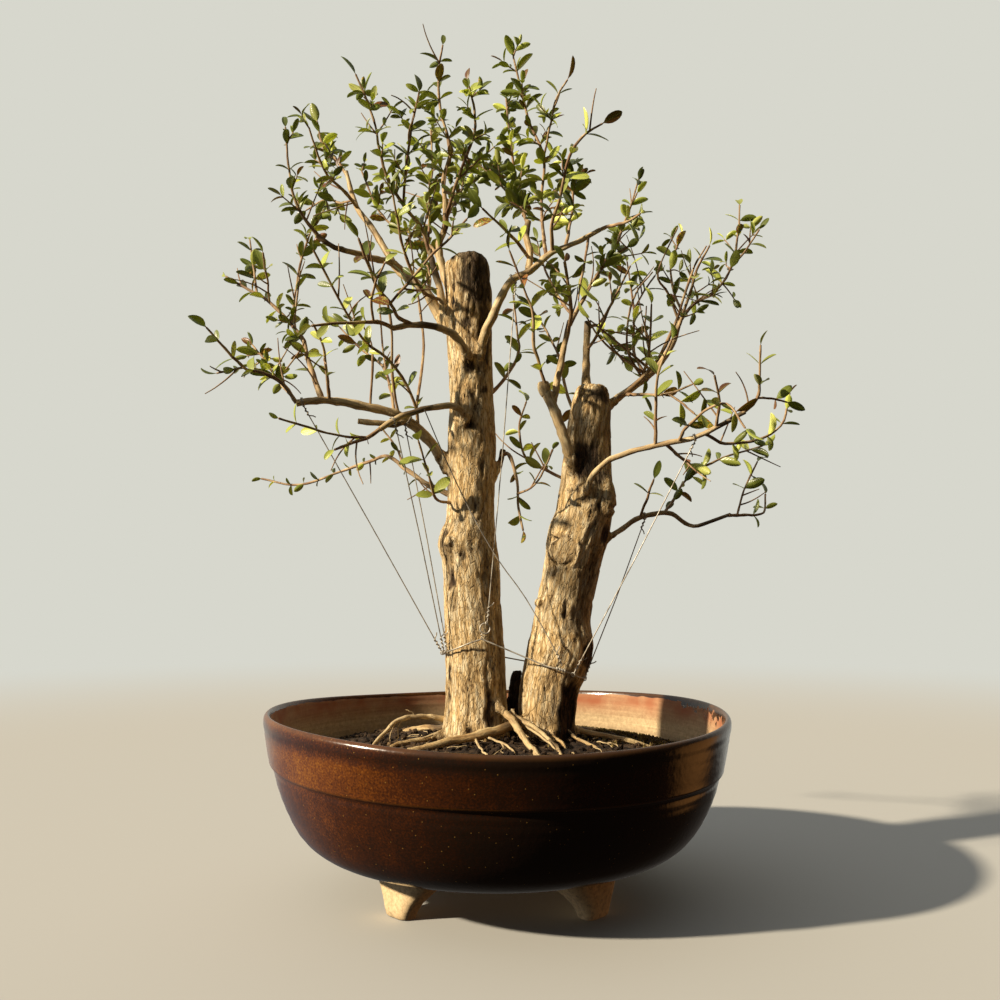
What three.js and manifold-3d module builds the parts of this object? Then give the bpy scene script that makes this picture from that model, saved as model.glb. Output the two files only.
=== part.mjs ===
// Pomegranate bonsai: twin trunks in a round glazed pot, with wired and guyed limbs.
// Millimetres, +Z up. The origin is on the table, under the middle of the pot, and the front
// of the tree faces -Y. Points are [x, y, z].
import * as THREE from 'three';
import { mergeVertices } from 'three/addons/utils/BufferGeometryUtils.js';
import Module from 'manifold-3d';

const wasm = await Module();
wasm.setup();

// ---------------------------------------------------------------- driving dimensions
const GAP = 0.3; // air between two pieces that touch
const BARK_RIDGE = 0.8; // half the height of the bark's long ridges
const LEAF_THICKNESS = 0.7;
const LEAF_LENGTH = [12, 22]; // shortest and longest leaf
const LEAF_SLENDER = [0.3, 0.42]; // width over length
const LEAF_SECTIONS = [[0.34, 1], [0.7, 0.76]]; // [place along the leaf, share of its width]
const SMALL_LEAF = 15; // a leaf shorter than this has one section
const SMALL_SECTIONS = [[0.42, 1]];
const PAIR_STEP = 18; // along a shoot, from one pair of leaves to the next
const PAIRS_KEPT = 3; // one pair in three is solid; the rest are only dressed on
const BARE_BASE = 14; // a shoot has no leaves this close to its root
const NODE_HALF = 1.1; // half the length of the joint that bears a pair of leaves
const RING_SPACE = 3.2; // a bend of the shoot this close to such a joint is left to the joint
const WIRE = 0.6; // radius of the training wire
const BELT_STANDOFF = 2.6; // from the bark to the middle of the belt wire
const LEAF_SEED = 4100;

// ---------------------------------------------------------------- pot
const POT_SIDES = 32;
const FOOT_ANGLES = [45, 135, 225, 315];
const DRAIN_RADIUS = 13;
const POT_RADIUS = 198;
const LIP_HEIGHT = 147;
const RIDGE_HEIGHT = 105; // of the outline's ridge, but it was pressed in by hand, so that it
const RIDGE_RISE = 4; // lies higher than that by this much
const RIDGE_LEAN = 5.3; // and by this much more towards one side
const RIDGE_ANGLE = 139;
const RIDGE_FLARE = 0.22; // the wall leans out by this much for each millimetre up
const LIP_RISE = 1; // the fire warped the wall above, so that the lip rises by this much,
const LIP_SWAY = 3.6; // by this much more near both ends of a line across it and less between,
const SWAY_ANGLE = 17; // the line's angle
const LIP_LEAN = 1.2; // and by this much more towards one side
const LEAN_ANGLE = 153;

// Half section of the bowl as [radius, height]: underside and outside up to the lip, then down
// the inside to the floor. It ends at the drain hole.
const BOWL = [
  [DRAIN_RADIUS, 28], [84, 28], [104.5, 30], [137, 36], [156.4, 45], [169.2, 58], [178.4, 74],
  [187.4, 99], [191.6, 109], [194.8, 124], [196.6, 138], [POT_RADIUS, 143.6],
  [195.4, LIP_HEIGHT], [192, 143], [189.5, 128], [186, 106], [172.5, 76], [143, 50], [90, 40],
  [DRAIN_RADIUS, 40],
];
const OUTSIDE_POINTS = 12; // of these, from the first

// One foot as level sections, from the sole up into the bowl:
// [height, distance from the pot's axis, half depth, half width].
const FOOT = [
  [0, 106, 7, 12], [5, 106, 8.5, 14], [14, 103, 11, 19], [24, 97, 17, 27], [35, 92, 21, 32],
];

// ---------------------------------------------------------------- soil
const SOIL_MIDDLE = 128; // height of the mound in the middle
const SOIL_EDGE = 109; // and where it meets the pot
const SOIL_RADIUS = 184.7;
const SOIL_SIDES = 20;
const SOIL_UNDER = [
  [0, 40.6], [89, 40.6], [141.5, 50.9], [171, 76.7], [184.4, 106.2],
];

// ---------------------------------------------------------------- wood
const TRUNK_SIDES = 16;
const LIMB_SIDES = 5;
const ROOT_SIDES = 5;

// Each trunk as level sections [height, x, y, radius], from the root mass to the sawn top.
const LEFT_TRUNK = [
  [64, -12, 0, 18], [100, -16, 0, 27], [122, -18.5, 0, 30], [158, -18.2, 0, 26.5],
  [198, -19.6, 0, 25.5], [244, -22.3, 0, 25.4], [281, -24.4, 0, 24.6], [292, -26.2, 0, 25.6],
  [303, -25, 0, 23.6], [315, -23.8, 0, 21.6], [350, -23.4, 0, 21.2], [386, -22.6, 0, 21.3],
  [421, -23.2, 0, 20], [470, -24.8, 1, 20.6], [514, -26.2, 2, 21.1], [535, -27.5, 3, 20.6],
  [545, -26.6, 3, 19], [547.5, -26.8, 4, 10.4], [555, -26.8, 4, 8.8],
];
const RIGHT_TRUNK = [
  [64, 20, 0, 18], [98, 36, 0, 24], [120, 43, 0, 24.5], [138, 43.8, 0, 23.6],
  [152, 43.6, 0, 25.2], [172, 46.2, 0, 25.6], [186, 50.3, 0, 27.2], [205, 55.2, 0, 28.6],
  [226, 56, 0, 25.2], [243, 58.7, 0, 24.9], [279, 65.9, 0, 24.2], [299, 70.6, 0, 26.4],
  [317, 76, 0, 25.1], [337, 78.1, 0, 24.4], [366, 79.2, 0, 21.4], [414, 82.7, 0, 18.2],
  [429, 84.1, 0, 15.2], [434, 84.6, 0, 12.8],
];
// The buried mass that joins the two trunks.
const ROOT_MASS = [22, 22, [-24, 0, 92], [10, 0, 88], [46, 0, 92]];

// Knots, pruning scars and dead stubs: [base radius, end radius, points].
const SCARS = {
  dead_stub: [8, 6.4, [13, 15, 96], [15, 15, 150], [16, 15, 180]],
  oval_scar: [11, 9, [57, -10, 286], [56, -27.4, 287]],
  right_stub: [8.5, 7, [86, -8, 336], [102, -11, 341]],
  left_burl: [6, 3.6, [44, -8, 240], [33.5, -14, 243]],
  low_knot: [7, 5, [-30, -14, 290], [-45, -21, 296]],
};

// Main limbs: [base radius, tip radius, points]. Each starts inside what it grows from.
const LIMBS = {
  low_left: [5.4, 3.6, [-37, 0, 355], [-51, -4, 372], [-64, -10, 388], [-80, -18, 401],
    [-95, -24, 407], [-130, -34, 413], [-151, -39, 414], [-170, -43, 411]],
  low_left_stub: [3.0, 2.2, [-80, -18, 401], [-88, -24, 396], [-105, -30, 396],
    [-119, -34, 397]],
  front_low: [3.2, 2.2, [-26, -12, 391], [-29, -26, 404], [-39, -34, 410], [-61, -48, 405],
    [-81, -60, 396], [-96, -68, 385]],
  front_high: [3.6, 2.3, [-24, -10, 445], [-28, -27, 460], [-39, -38, 472], [-53, -50, 475],
    [-71, -60, 474], [-86, -68, 469]],
  rise_left: [5.3, 2.0, [-41, 2, 485], [-54, 4, 502], [-63, 8, 520], [-75, 12, 532],
    [-89, 16, 542], [-101, 22, 561], [-117, 30, 589], [-133, 38, 613], [-145, 48, 651]],
  reach_left: [3.5, 2.0, [-87, 15, 543], [-97, 6, 549], [-112, -4, 549], [-131, -14, 552],
    [-145, -22, 554], [-158, -28, 562]],
  rise_mid: [4.2, 2.4, [-37, -2, 480], [-46, -6, 494], [-50, -8, 514], [-57, -6, 540],
    [-61, -4, 557]],
  rise_dark: [4.4, 2.6, [-29, 10, 495], [-39, 16, 512], [-46, 20, 532], [-52, 22, 554],
    [-54, 22, 571], [-48, 20, 589], [-48, 16, 611]],
  arch_right: [4.2, 1.8, [-17, -12, 455], [-12, -24, 472], [-4, -30, 490], [11, -36, 518],
    [28, -40, 526], [45, -44, 540], [66, -50, 547], [87, -56, 557]],
  arch_stub: [3.3, 2.6, [27, -40, 527], [28, -36, 544], [25, -30, 561], [27, -26, 575]],
  low_right: [2.8, 1.8, [75, -16, 331], [78, -29, 344], [85, -36, 355], [99, -42, 365],
    [132, -50, 374], [160, -56, 379], [180, -60, 387], [204, -64, 400]],
  reach_right: [2.6, 1.6, [90, 0, 295], [101, 4, 301], [127, 12, 317], [154, 20, 322],
    [178, 28, 311], [214, 38, 322]],
  side_stub: [3.0, 2.4, [-10, 2, 345], [1, 6, 363], [5, 8, 378]],
  cut_left: [5.0, 4.2, [72, -8, 351], [63, -20, 367], [56, -24, 389], [49, -25, 408],
    [43, -25, 422], [40, -25, 431]],
  cut_left_up: [3.1, 2.3, [47, -25, 410], [52, -20, 434], [59, -12, 468], [64, -8, 491]],
  cut_mid: [3.6, 3.0, [81, 4, 404], [80, 6, 426], [80, 10, 460], [82, 14, 496]],
  fan_right: [4.0, 2.2, [88, 4, 410], [103, 10, 421], [126, 20, 439], [145, 28, 455],
    [163, 38, 481], [172, 46, 508]],
};

// Leafy shoots, one node each: [base radius, tip radius, points] for the shoot and then for
// each side twig, which starts on the shoot.
const SHOOTS = {
  tip_left_low: [
    [1.9, 0.9, [-170, -43, 411], [-181, -50, 427], [-196, -58, 434], [-210, -64, 437],
      [-223, -72, 451], [-236, -82, 466]],
    [1.0, 0.8, [-210, -64, 437], [-222, -62, 435], [-233, -60, 433]],
    [1.3, 0.8, [-174, -46, 417], [-182, -36, 425], [-192, -22, 437], [-205, -6, 454],
      [-222, 12, 474]],
  ],
  strong_left: [
    [2.3, 1.0, [-149, -38, 414], [-161, -30, 444], [-169, -22, 469], [-183, -14, 488],
      [-206, -4, 511], [-228, 6, 525], [-248, 14, 538]],
    [1.2, 0.8, [-216, 0, 518], [-222, 12, 542], [-231, 30, 578]],
    [1.2, 0.8, [-181, -15, 486], [-180, -6, 518], [-178, 8, 552], [-172, 20, 584]],
    [1.0, 0.8, [-203, -6, 509], [-202, -22, 524], [-202, -38, 543]],
  ],
  low_forward: [
    [1.5, 0.9, [-143, -37, 413], [-143, -52, 432], [-143, -70, 453], [-148, -88, 467]],
  ],
  slant_left: [
    [1.7, 0.8, [-69, -13, 391], [-72, -24, 415], [-90, -44, 446], [-111, -62, 461],
      [-129, -84, 490], [-146, -104, 523]],
  ],
  slant_back: [
    [1.6, 0.8, [-89, -21, 404], [-95, -4, 432], [-105, 18, 456], [-129, 42, 478],
      [-151, 62, 503]],
  ],
  front_low_tip: [
    [1.7, 0.9, [-95, -67, 386], [-106, -76, 377], [-117, -88, 370], [-128, -98, 364]],
    [1.1, 0.8, [-106, -76, 377], [-126, -92, 376], [-147, -108, 380], [-167, -122, 385]],
  ],
  front_high_tip: [
    [1.9, 0.9, [-85, -67, 469], [-95, -80, 471], [-108, -94, 467], [-125, -110, 462],
      [-142, -126, 456]],
    [1.1, 0.8, [-100, -86, 470], [-100, -100, 482], [-95, -112, 494], [-87, -122, 507]],
  ],
  fork_front: [
    [1.8, 0.9, [-71, -60, 474], [-82, -72, 478], [-87, -82, 486], [-96, -94, 495],
      [-102, -108, 510], [-108, -120, 527]],
    [1.2, 0.8, [-87, -82, 486], [-73, -92, 499], [-54, -100, 518], [-37, -106, 533],
      [-24, -110, 546]],
  ],
  rise_left_tip: [
    [1.7, 0.8, [-144, 47, 647], [-155, 56, 665], [-169, 66, 680], [-176, 76, 700],
      [-180, 84, 717]],
  ],
  rise_left_fork: [
    [1.6, 0.8, [-131, 37, 610], [-141, 24, 620], [-154, 12, 630], [-163, 0, 646],
      [-169, -12, 666]],
    [1.3, 0.8, [-136, 31, 616], [-150, 48, 620], [-168, 70, 632], [-191, 92, 630]],
  ],
  reach_left_tip: [
    [1.6, 0.8, [-156, -27, 561], [-168, -36, 575], [-176, -44, 593], [-179, -50, 617],
      [-181, -54, 647]],
  ],
  mid_high: [
    [1.9, 0.8, [-61, -4, 554], [-69, -12, 576], [-86, -24, 595], [-96, -34, 611],
      [-102, -44, 633], [-108, -52, 662], [-121, -58, 692]],
    [1.2, 0.8, [-83, -22, 591], [-80, -34, 618], [-74, -46, 650], [-67, -54, 678]],
    [1.5, 0.8, [-63, -6, 561], [-62, 8, 585], [-64, 24, 614], [-62, 42, 656], [-65, 58, 697]],
  ],
  mid_back: [
    [1.6, 0.8, [-53, 22, 554], [-65, 36, 576], [-92, 56, 598], [-115, 76, 620],
      [-137, 98, 672]],
  ],
  mid_front: [
    [1.6, 0.8, [-50, -8, 510], [-64, -24, 512], [-76, -44, 531], [-82, -62, 553],
      [-86, -78, 578]],
  ],
  mid_short: [
    [1.3, 0.8, [-64, 8, 517], [-62, 24, 534], [-65, 40, 552], [-72, 56, 571]],
  ],
  tallest: [
    [2.2, 0.8, [-48, 17, 606], [-50, 20, 633], [-44, 22, 661], [-53, 20, 697], [-55, 16, 729],
      [-51, 12, 757]],
  ],
  tallest_side: [
    [1.8, 0.8, [-51, 21, 580], [-42, 2, 606], [-30, -16, 633], [-21, -30, 650],
      [-20, -38, 670], [-26, -44, 694]],
    [1.0, 0.8, [-36, -7, 620], [-26, -11, 628], [-16, -14, 637]],
    [1.4, 0.8, [-48, 14, 590], [-39, 36, 618], [-27, 64, 645], [-10, 92, 673]],
  ],
  arch_tip: [
    [1.7, 0.8, [85, -56, 556], [96, -66, 557], [107, -78, 555], [116, -90, 558]],
  ],
  arch_rise: [
    [1.8, 0.8, [42, -43, 537], [39, -44, 559], [38, -42, 590], [40, -38, 627], [27, -32, 666],
      [14, -26, 725]],
    [1.0, 0.8, [40, -38, 627], [45, -52, 647], [50, -62, 669], [59, -68, 682]],
  ],
  arch_hang: [
    [1.3, 0.8, [77, -53, 552], [74, -60, 531], [69, -66, 508], [67, -68, 493]],
  ],
  stub_left: [
    [1.7, 0.8, [27, -27, 572], [19, -14, 594], [2, 4, 621], [-10, 20, 645]],
    [1.4, 0.8, [23, -21, 582], [21, -4, 605], [15, 20, 643], [11, 40, 687], [8, 54, 727]],
  ],
  stub_front: [
    [1.6, 0.8, [27, -38, 538], [17, -58, 545], [2, -78, 553], [-12, -96, 560]],
  ],
  arch_front: [
    [1.6, 0.8, [47, -44, 541], [46, -62, 560], [52, -78, 577], [57, -92, 600], [68, -102, 617],
      [84, -108, 625]],
  ],
  arch_back: [
    [1.5, 0.8, [58, -47, 546], [63, -34, 568], [67, -18, 601], [67, -4, 635]],
  ],
  under_left: [
    [2.4, 0.9, [-40, 4, 336], [-65, 14, 349], [-84, 24, 363], [-101, 34, 375], [-119, 46, 372],
      [-150, 66, 364], [-192, 88, 354], [-234, 106, 362]],
    [1.2, 0.8, [-84, 24, 363], [-94, 40, 384], [-108, 58, 403]],
  ],
  under_front: [
    [1.4, 0.8, [-42, -10, 329], [-53, -26, 332], [-58, -44, 351], [-65, -62, 376]],
  ],
  between: [
    [1.8, 0.8, [-9, 8, 425], [6, 22, 445], [19, 38, 470], [19, 52, 492], [15, 70, 537]],
  ],
  cut_left_tip: [
    [1.6, 0.8, [44, -25, 420], [37, -34, 443], [31, -42, 461], [30, -50, 485], [23, -58, 504],
      [10, -70, 534]],
  ],
  hang_mid: [
    [1.7, 0.9, [3, 7, 372], [10, -4, 372], [17, -14, 347], [18, -20, 324], [22, -26, 304]],
    [1.0, 0.8, [17, -17, 336], [31, -30, 342], [40, -42, 356], [46, -52, 370]],
  ],
  low_right_tip: [
    [1.7, 0.8, [202, -64, 399], [214, -66, 411], [215, -70, 429], [215, -76, 453]],
    [1.0, 0.8, [214, -66, 411], [229, -54, 413], [245, -42, 412]],
  ],
  low_right_up: [
    [1.5, 0.8, [132, -50, 374], [131, -62, 400], [131, -76, 429], [140, -90, 454]],
  ],
  low_right_down: [
    [1.5, 0.8, [139, -51, 376], [154, -42, 366], [171, -30, 358], [197, -14, 368],
      [236, 6, 381]],
  ],
  low_right_out: [
    [1.5, 0.8, [171, -58, 383], [191, -50, 376], [219, -38, 380], [244, -26, 394],
      [256, -14, 425]],
  ],
  low_right_front: [
    [1.5, 0.8, [151, -53, 377], [154, -72, 385], [165, -92, 395], [179, -108, 399],
      [190, -120, 378]],
  ],
  low_right_side: [
    [1.4, 0.8, [181, -60, 388], [180, -78, 406], [173, -94, 424]],
  ],
  reach_right_tip: [
    [1.5, 0.8, [212, 37, 321], [232, 46, 322], [249, 56, 325], [254, 66, 343]],
    [1.0, 0.8, [221, 41, 322], [231, 54, 346], [247, 66, 374]],
  ],
  reach_right_up: [
    [1.4, 0.8, [127, 12, 317], [132, 0, 334], [136, -14, 349]],
  ],
  reach_right_back: [
    [1.4, 0.8, [150, 19, 322], [163, 40, 337], [176, 62, 354], [196, 84, 368]],
  ],
  cut_up_right: [
    [1.9, 0.8, [64, -9, 487], [75, 4, 510], [91, 18, 541], [111, 34, 576], [123, 46, 608],
      [134, 56, 633]],
    [1.1, 0.8, [82, 10, 523], [102, 26, 556], [133, 42, 582]],
    [1.4, 0.8, [68, -4, 496], [57, 8, 514], [46, 24, 543], [40, 40, 565]],
  ],
  cut_up_front: [
    [1.8, 1.2, [62, -10, 478], [64, -24, 495], [61, -38, 514], [57, -50, 531]],
  ],
  behind_mid: [
    [1.9, 0.8, [76, 12, 402], [65, 34, 430], [59, 58, 471], [50, 78, 499], [32, 98, 534]],
  ],
  cut_mid_top: [
    [1.7, 0.8, [82, 14, 490], [93, 30, 496], [108, 50, 482], [129, 70, 462]],
  ],
  cut_mid_side: [
    [1.5, 0.8, [81, 11, 469], [89, -6, 480], [97, -22, 497], [104, -34, 510], [113, -48, 528]],
  ],
  fan_top: [
    [1.9, 0.8, [171, 45, 504], [185, 54, 522], [210, 64, 540], [227, 72, 565], [236, 78, 599],
      [239, 82, 631]],
    [1.0, 0.8, [227, 72, 565], [240, 64, 580], [251, 56, 597]],
    [1.4, 0.8, [176, 48, 510], [170, 66, 539], [171, 86, 572], [186, 106, 609]],
  ],
  fan_mid: [
    [1.6, 0.8, [165, 40, 487], [176, 28, 520], [182, 14, 544], [191, 0, 562]],
  ],
  fan_left: [
    [1.6, 0.8, [136, 24, 447], [128, 44, 475], [131, 66, 521], [128, 88, 576]],
    [1.0, 0.8, [131, 66, 521], [140, 58, 537], [150, 52, 551]],
  ],
  fan_front: [
    [1.6, 0.8, [130, 22, 442], [135, 4, 460], [135, -12, 482], [134, -26, 501]],
  ],
  fan_out: [
    [1.6, 0.8, [113, 14, 429], [128, -4, 426], [148, -22, 423], [166, -38, 428]],
    [1.0, 0.8, [148, -22, 423], [159, -30, 413], [168, -36, 403]],
  ],
  knot_left: [
    [1.5, 0.8, [61, 2, 350], [44, 18, 361], [26, 32, 373], [20, 46, 404], [27, 58, 430]],
  ],
};

// Surface roots: [radius, points as [x, y, lift]], where lift is the height of the root's
// middle over the soil. Each starts in a trunk and dives at its end.
const ROOTS = [
  [2.7, [-30, -4, 8], [-50, -12, 2.5], [-76, -25, 1], [-86, -33, 0.5], [-97, -46, -5]],
  [3.9, [22, -10, 8], [9, -27, 4], [-5, -35, 3], [-20, -41, 2], [-37, -46, 2], [-57, -51, 1],
    [-80, -60, -6]],
  [3.4, [-8, -14, 34], [2, -25, 24], [8, -31, 14], [17, -38, 6], [23, -50, 2.5], [31, -66, -5]],
  [2.1, [22, -8, 20], [17, -20, 15], [31, -32, 8], [41, -44, 3], [50, -58, -4]],
  [1.8, [46, -12, 10], [46, -30, 5], [57, -46, 1], [62, -58, -4]],
  [1.6, [56, -6, 10], [66, -20, 4], [79, -36, 1], [95, -52, -4]],
  [3.4, [-30, 12, 8], [-52, 40, 3], [-78, 66, 1.5], [-104, 84, -5]],
  [3.2, [52, 12, 8], [76, 40, 3], [92, 72, 1.5], [100, 100, -5]],
  [2.6, [-4, 10, 10], [6, 40, 3], [-8, 72, 1.5], [-6, 104, -4]],
  [2.6, [62, 2, 8], [96, 6, 3], [124, 2, 1], [146, 8, -4]],
];

// ---------------------------------------------------------------- wires
// The belt goes round both trunks through these stations: [trunk, from angle, to angle,
// from height, to height], with angles seen from above, 0 to +X and 270 to the front.
const BELT = [
  ['left', 285, 75, 205, 196],
  ['right', 105, 0, 186, 177],
  ['right', -24, -110, 177, 190],
];
const BELT_STEP = 24; // degrees
const EYE = { centre: [-12.6, -28, 209.3], radius: 4.6 }; // the ring twisted up in the belt
const KNOT = { angle: -84, length: 9, radius: 1.5 };
// Guys: [limb, place along its points, trunk, angle on the belt].
const GUYS = {
  guy_low_left: ['low_left', 6.7, 'left', 190],
  guy_front_low: ['front_low', 4.3, 'left', 214],
  guy_mid_left: ['low_left', 2.8, 'left', 238],
  guy_arch: ['arch_right', 3.1, 'eye', 0],
  guy_low_right: ['low_right', 5.2, 'right', -60],
  guy_reach_right: ['reach_right', 2.1, 'right', -24],
};

// ---------------------------------------------------------------- small tools
const vec = ([x, y, z]) => new THREE.Vector3(x, y, z);
const clamp = (value, low, high) => Math.min(Math.max(value, low), high);
const radians = THREE.MathUtils.degToRad;

// A repeatable random generator (mulberry32).
function randomFrom(seed) {
  let state = seed >>> 0;
  return () => {
    state = (state + 0x6d2b79f5) >>> 0;
    let t = state;
    t = Math.imul(t ^ (t >>> 15), t | 1);
    t ^= t + Math.imul(t ^ (t >>> 7), t | 61);
    return ((t ^ (t >>> 14)) >>> 0) / 4294967296;
  };
}

function solidFrom(positions, triangles) {
  return new wasm.Manifold(
    new wasm.Mesh({
      numProp: 3,
      vertProperties: new Float32Array(positions),
      triVerts: new Uint32Array(triangles),
    }),
  );
}

// A solid through rings of points that all have the same count and run anticlockwise as seen
// from the far end. Both ends are closed flat.
function loft(rings) {
  const sides = rings[0].length;
  const positions = rings.flat().flatMap((p) => [p.x, p.y, p.z]);
  const triangles = [];
  for (let ring = 0; ring + 1 < rings.length; ring++) {
    for (let i = 0; i < sides; i++) {
      const a = ring * sides + i;
      const b = ring * sides + ((i + 1) % sides);
      triangles.push(a, b, b + sides, a, b + sides, a + sides);
    }
  }
  const last = (rings.length - 1) * sides;
  for (let i = 1; i + 1 < sides; i++) {
    triangles.push(0, i + 1, i);
    triangles.push(last, last + i, last + i + 1);
  }
  return solidFrom(positions, triangles);
}

// Directions along a path of points, as the mean of the two stretches that meet.
function tangents(path) {
  return path.map((point, i) => {
    const before = path[Math.max(i - 1, 0)];
    const after = path[Math.min(i + 1, path.length - 1)];
    return after.clone().sub(before).normalize();
  });
}

// A tapering round bar along a path, with sharp bends softened by its mean directions.
function bar(points, baseRadius, tipRadius, sides, growth = 0) {
  const path = points.map(vec);
  const along = tangents(path);
  const aside = new THREE.Vector3(0, 0, 1);
  if (Math.abs(along[0].z) > 0.8) aside.set(1, 0, 0);
  const rings = path.map((point, i) => {
    aside.addScaledVector(along[i], -aside.dot(along[i])).normalize();
    const across = new THREE.Vector3().crossVectors(along[i], aside);
    const radius = THREE.MathUtils.lerp(baseRadius, tipRadius, i / (path.length - 1)) + growth;
    return Array.from({ length: sides }, (_, k) => {
      const turn = (2 * Math.PI * k) / sides;
      return point
        .clone()
        .addScaledVector(aside, radius * Math.cos(turn))
        .addScaledVector(across, radius * Math.sin(turn));
    });
  });
  return loft(rings);
}

// A wire ring round an axis.
function ring(centre, axis, radius, steps, sides) {
  const torus = new THREE.TorusGeometry(radius, WIRE, sides, steps);
  const turn = new THREE.Quaternion().setFromUnitVectors(new THREE.Vector3(0, 0, 1), axis);
  torus.applyQuaternion(turn).translate(centre.x, centre.y, centre.z);
  return solidOf(torus);
}

function solidOf(geometry) {
  geometry.deleteAttribute('normal');
  geometry.deleteAttribute('uv');
  const merged = mergeVertices(geometry, 1e-3);
  const index = merged.index.array;
  const triangles = [];
  for (let i = 0; i < index.length; i += 3) {
    const [a, b, c] = index.slice(i, i + 3);
    if (a !== b && b !== c && c !== a) triangles.push(a, b, c);
  }
  return solidFrom(merged.attributes.position.array, triangles);
}

// A solid turned round the pot's axis from [radius, height] points, outside first. A rule may
// then move each point; it is also told the point's place in the list.
function turned(profile, sides, warp = () => {}) {
  const points = profile.map(([radius, height]) => new THREE.Vector2(radius, height));
  const geometry = new THREE.LatheGeometry(points, sides).rotateX(Math.PI / 2);
  const { position } = geometry.attributes;
  const point = new THREE.Vector3();
  for (let i = 0; i < position.count; i++) {
    warp(point.fromBufferAttribute(position, i), i % points.length);
    position.setXYZ(i, point.x, point.y, point.z);
  }
  return solidOf(geometry);
}

const joined = (solids) => wasm.Manifold.union(solids);

// The largest body of a solid: what a cut leaves loose beside it is dropped.
function largest(solid) {
  return solid.decompose().reduce((a, b) => (a.volume() > b.volume() ? a : b));
}

// ---------------------------------------------------------------- pot and soil
function makeFoot(angle) {
  const sides = 8;
  const out = new THREE.Vector3(Math.cos(radians(angle)), Math.sin(radians(angle)), 0);
  const along = new THREE.Vector3(-out.y, out.x, 0);
  return loft(
    FOOT.map(([height, distance, halfDepth, halfWidth]) =>
      Array.from({ length: sides }, (_, k) => {
        const turn = (2 * Math.PI * (k + 0.5)) / sides;
        return out
          .clone()
          .multiplyScalar(distance + halfDepth * Math.cos(turn))
          .addScaledVector(along, halfWidth * Math.sin(turn))
          .setZ(height);
      }),
    ),
  );
}

function warpBowl(point, place) {
  const angle = Math.atan2(point.y, point.x);
  const share = Math.min(1, Math.max(0, (point.z - RIDGE_HEIGHT) / (143 - RIDGE_HEIGHT)));
  const rise =
    LIP_RISE +
    LIP_SWAY * Math.cos(2 * (angle - radians(SWAY_ANGLE))) +
    LIP_LEAN * Math.cos(angle - radians(LEAN_ANGLE));
  const nearRidge = Math.max(0, Math.min(1, (point.z - 58) / 41, (143 - point.z) / 34));
  const lift = RIDGE_RISE + RIDGE_LEAN * Math.cos(angle - radians(RIDGE_ANGLE));
  const moved = place < OUTSIDE_POINTS ? nearRidge * lift : 0;
  const grown = 1 + (RIDGE_FLARE * moved) / Math.hypot(point.x, point.y);
  point.set(point.x * grown, point.y * grown, point.z + share * share * rise + moved);
}

function makePot() {
  const bowl = turned([...BOWL, BOWL[0]], POT_SIDES, warpBowl);
  return joined([bowl, ...FOOT_ANGLES.map(makeFoot)]);
}

const soilHeight = (x, y) =>
  SOIL_MIDDLE - (SOIL_MIDDLE - SOIL_EDGE) * ((x * x + y * y) / SOIL_RADIUS ** 2);

function makeSoil(buried) {
  const top = [SOIL_RADIUS, 130, 65].map((radius) => [radius, soilHeight(radius, 0)]);
  const mound = turned([...SOIL_UNDER, ...top, [0, SOIL_MIDDLE]], SOIL_SIDES);
  return largest(mound.subtract(buried));
}

// ---------------------------------------------------------------- wood
// The bark stands in long ridges that wander round the trunk as they rise.
function makeTrunk(sections, growth = 0) {
  return loft(
    sections.map(([height, x, y, radius], level) =>
      Array.from({ length: TRUNK_SIDES }, (_, k) => {
        const turn = (2 * Math.PI * k) / TRUNK_SIDES + 0.12 * Math.sin(level * 0.9);
        const ridge = (k % 2 ? 1 : -1) * (0.6 + 0.4 * Math.sin(k * 1.7 + level * 1.1));
        const reach = radius + (growth || BARK_RIDGE * ridge);
        return new THREE.Vector3(x + reach * Math.cos(turn), y + reach * Math.sin(turn), height);
      }),
    ),
  );
}

const rootPath = ([, ...points]) => points.map(([x, y, lift]) => [x, y, soilHeight(x, y) + lift]);

// All the wood, or all of it grown by a margin, to cut room for it in its neighbours.
function makeWood(margin = 0) {
  const trunkMargin = margin && margin + BARK_RIDGE;
  const limbs = Object.values(LIMBS).map(([base, tip, ...points]) =>
    bar(points, base, tip, LIMB_SIDES, margin),
  );
  const scars = Object.values(SCARS).map(([base, tip, ...points]) =>
    bar(points, base, tip, TRUNK_SIDES / 2, margin),
  );
  const roots = ROOTS.map((root) =>
    bar(rootPath(root), root[0], root[0] * 0.6, ROOT_SIDES, margin),
  );
  const [massBase, massTip, ...massPoints] = ROOT_MASS;
  return joined([
    makeTrunk(LEFT_TRUNK, trunkMargin),
    makeTrunk(RIGHT_TRUNK, trunkMargin),
    bar(massPoints, massBase, massTip, TRUNK_SIDES, margin),
    ...limbs,
    ...scars,
    ...roots,
  ]);
}

// ---------------------------------------------------------------- clearances
// Every limb, shoot, wire and leaf leaves its stretches here as { owner, a, b, radius }, so that
// a later leaf can be kept clear of them.
const stretches = [];

function note(owner, points, radiusAt) {
  for (let i = 0; i + 1 < points.length; i++) {
    stretches.push({ owner, a: points[i], b: points[i + 1], radius: radiusAt(i) });
  }
}

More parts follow.
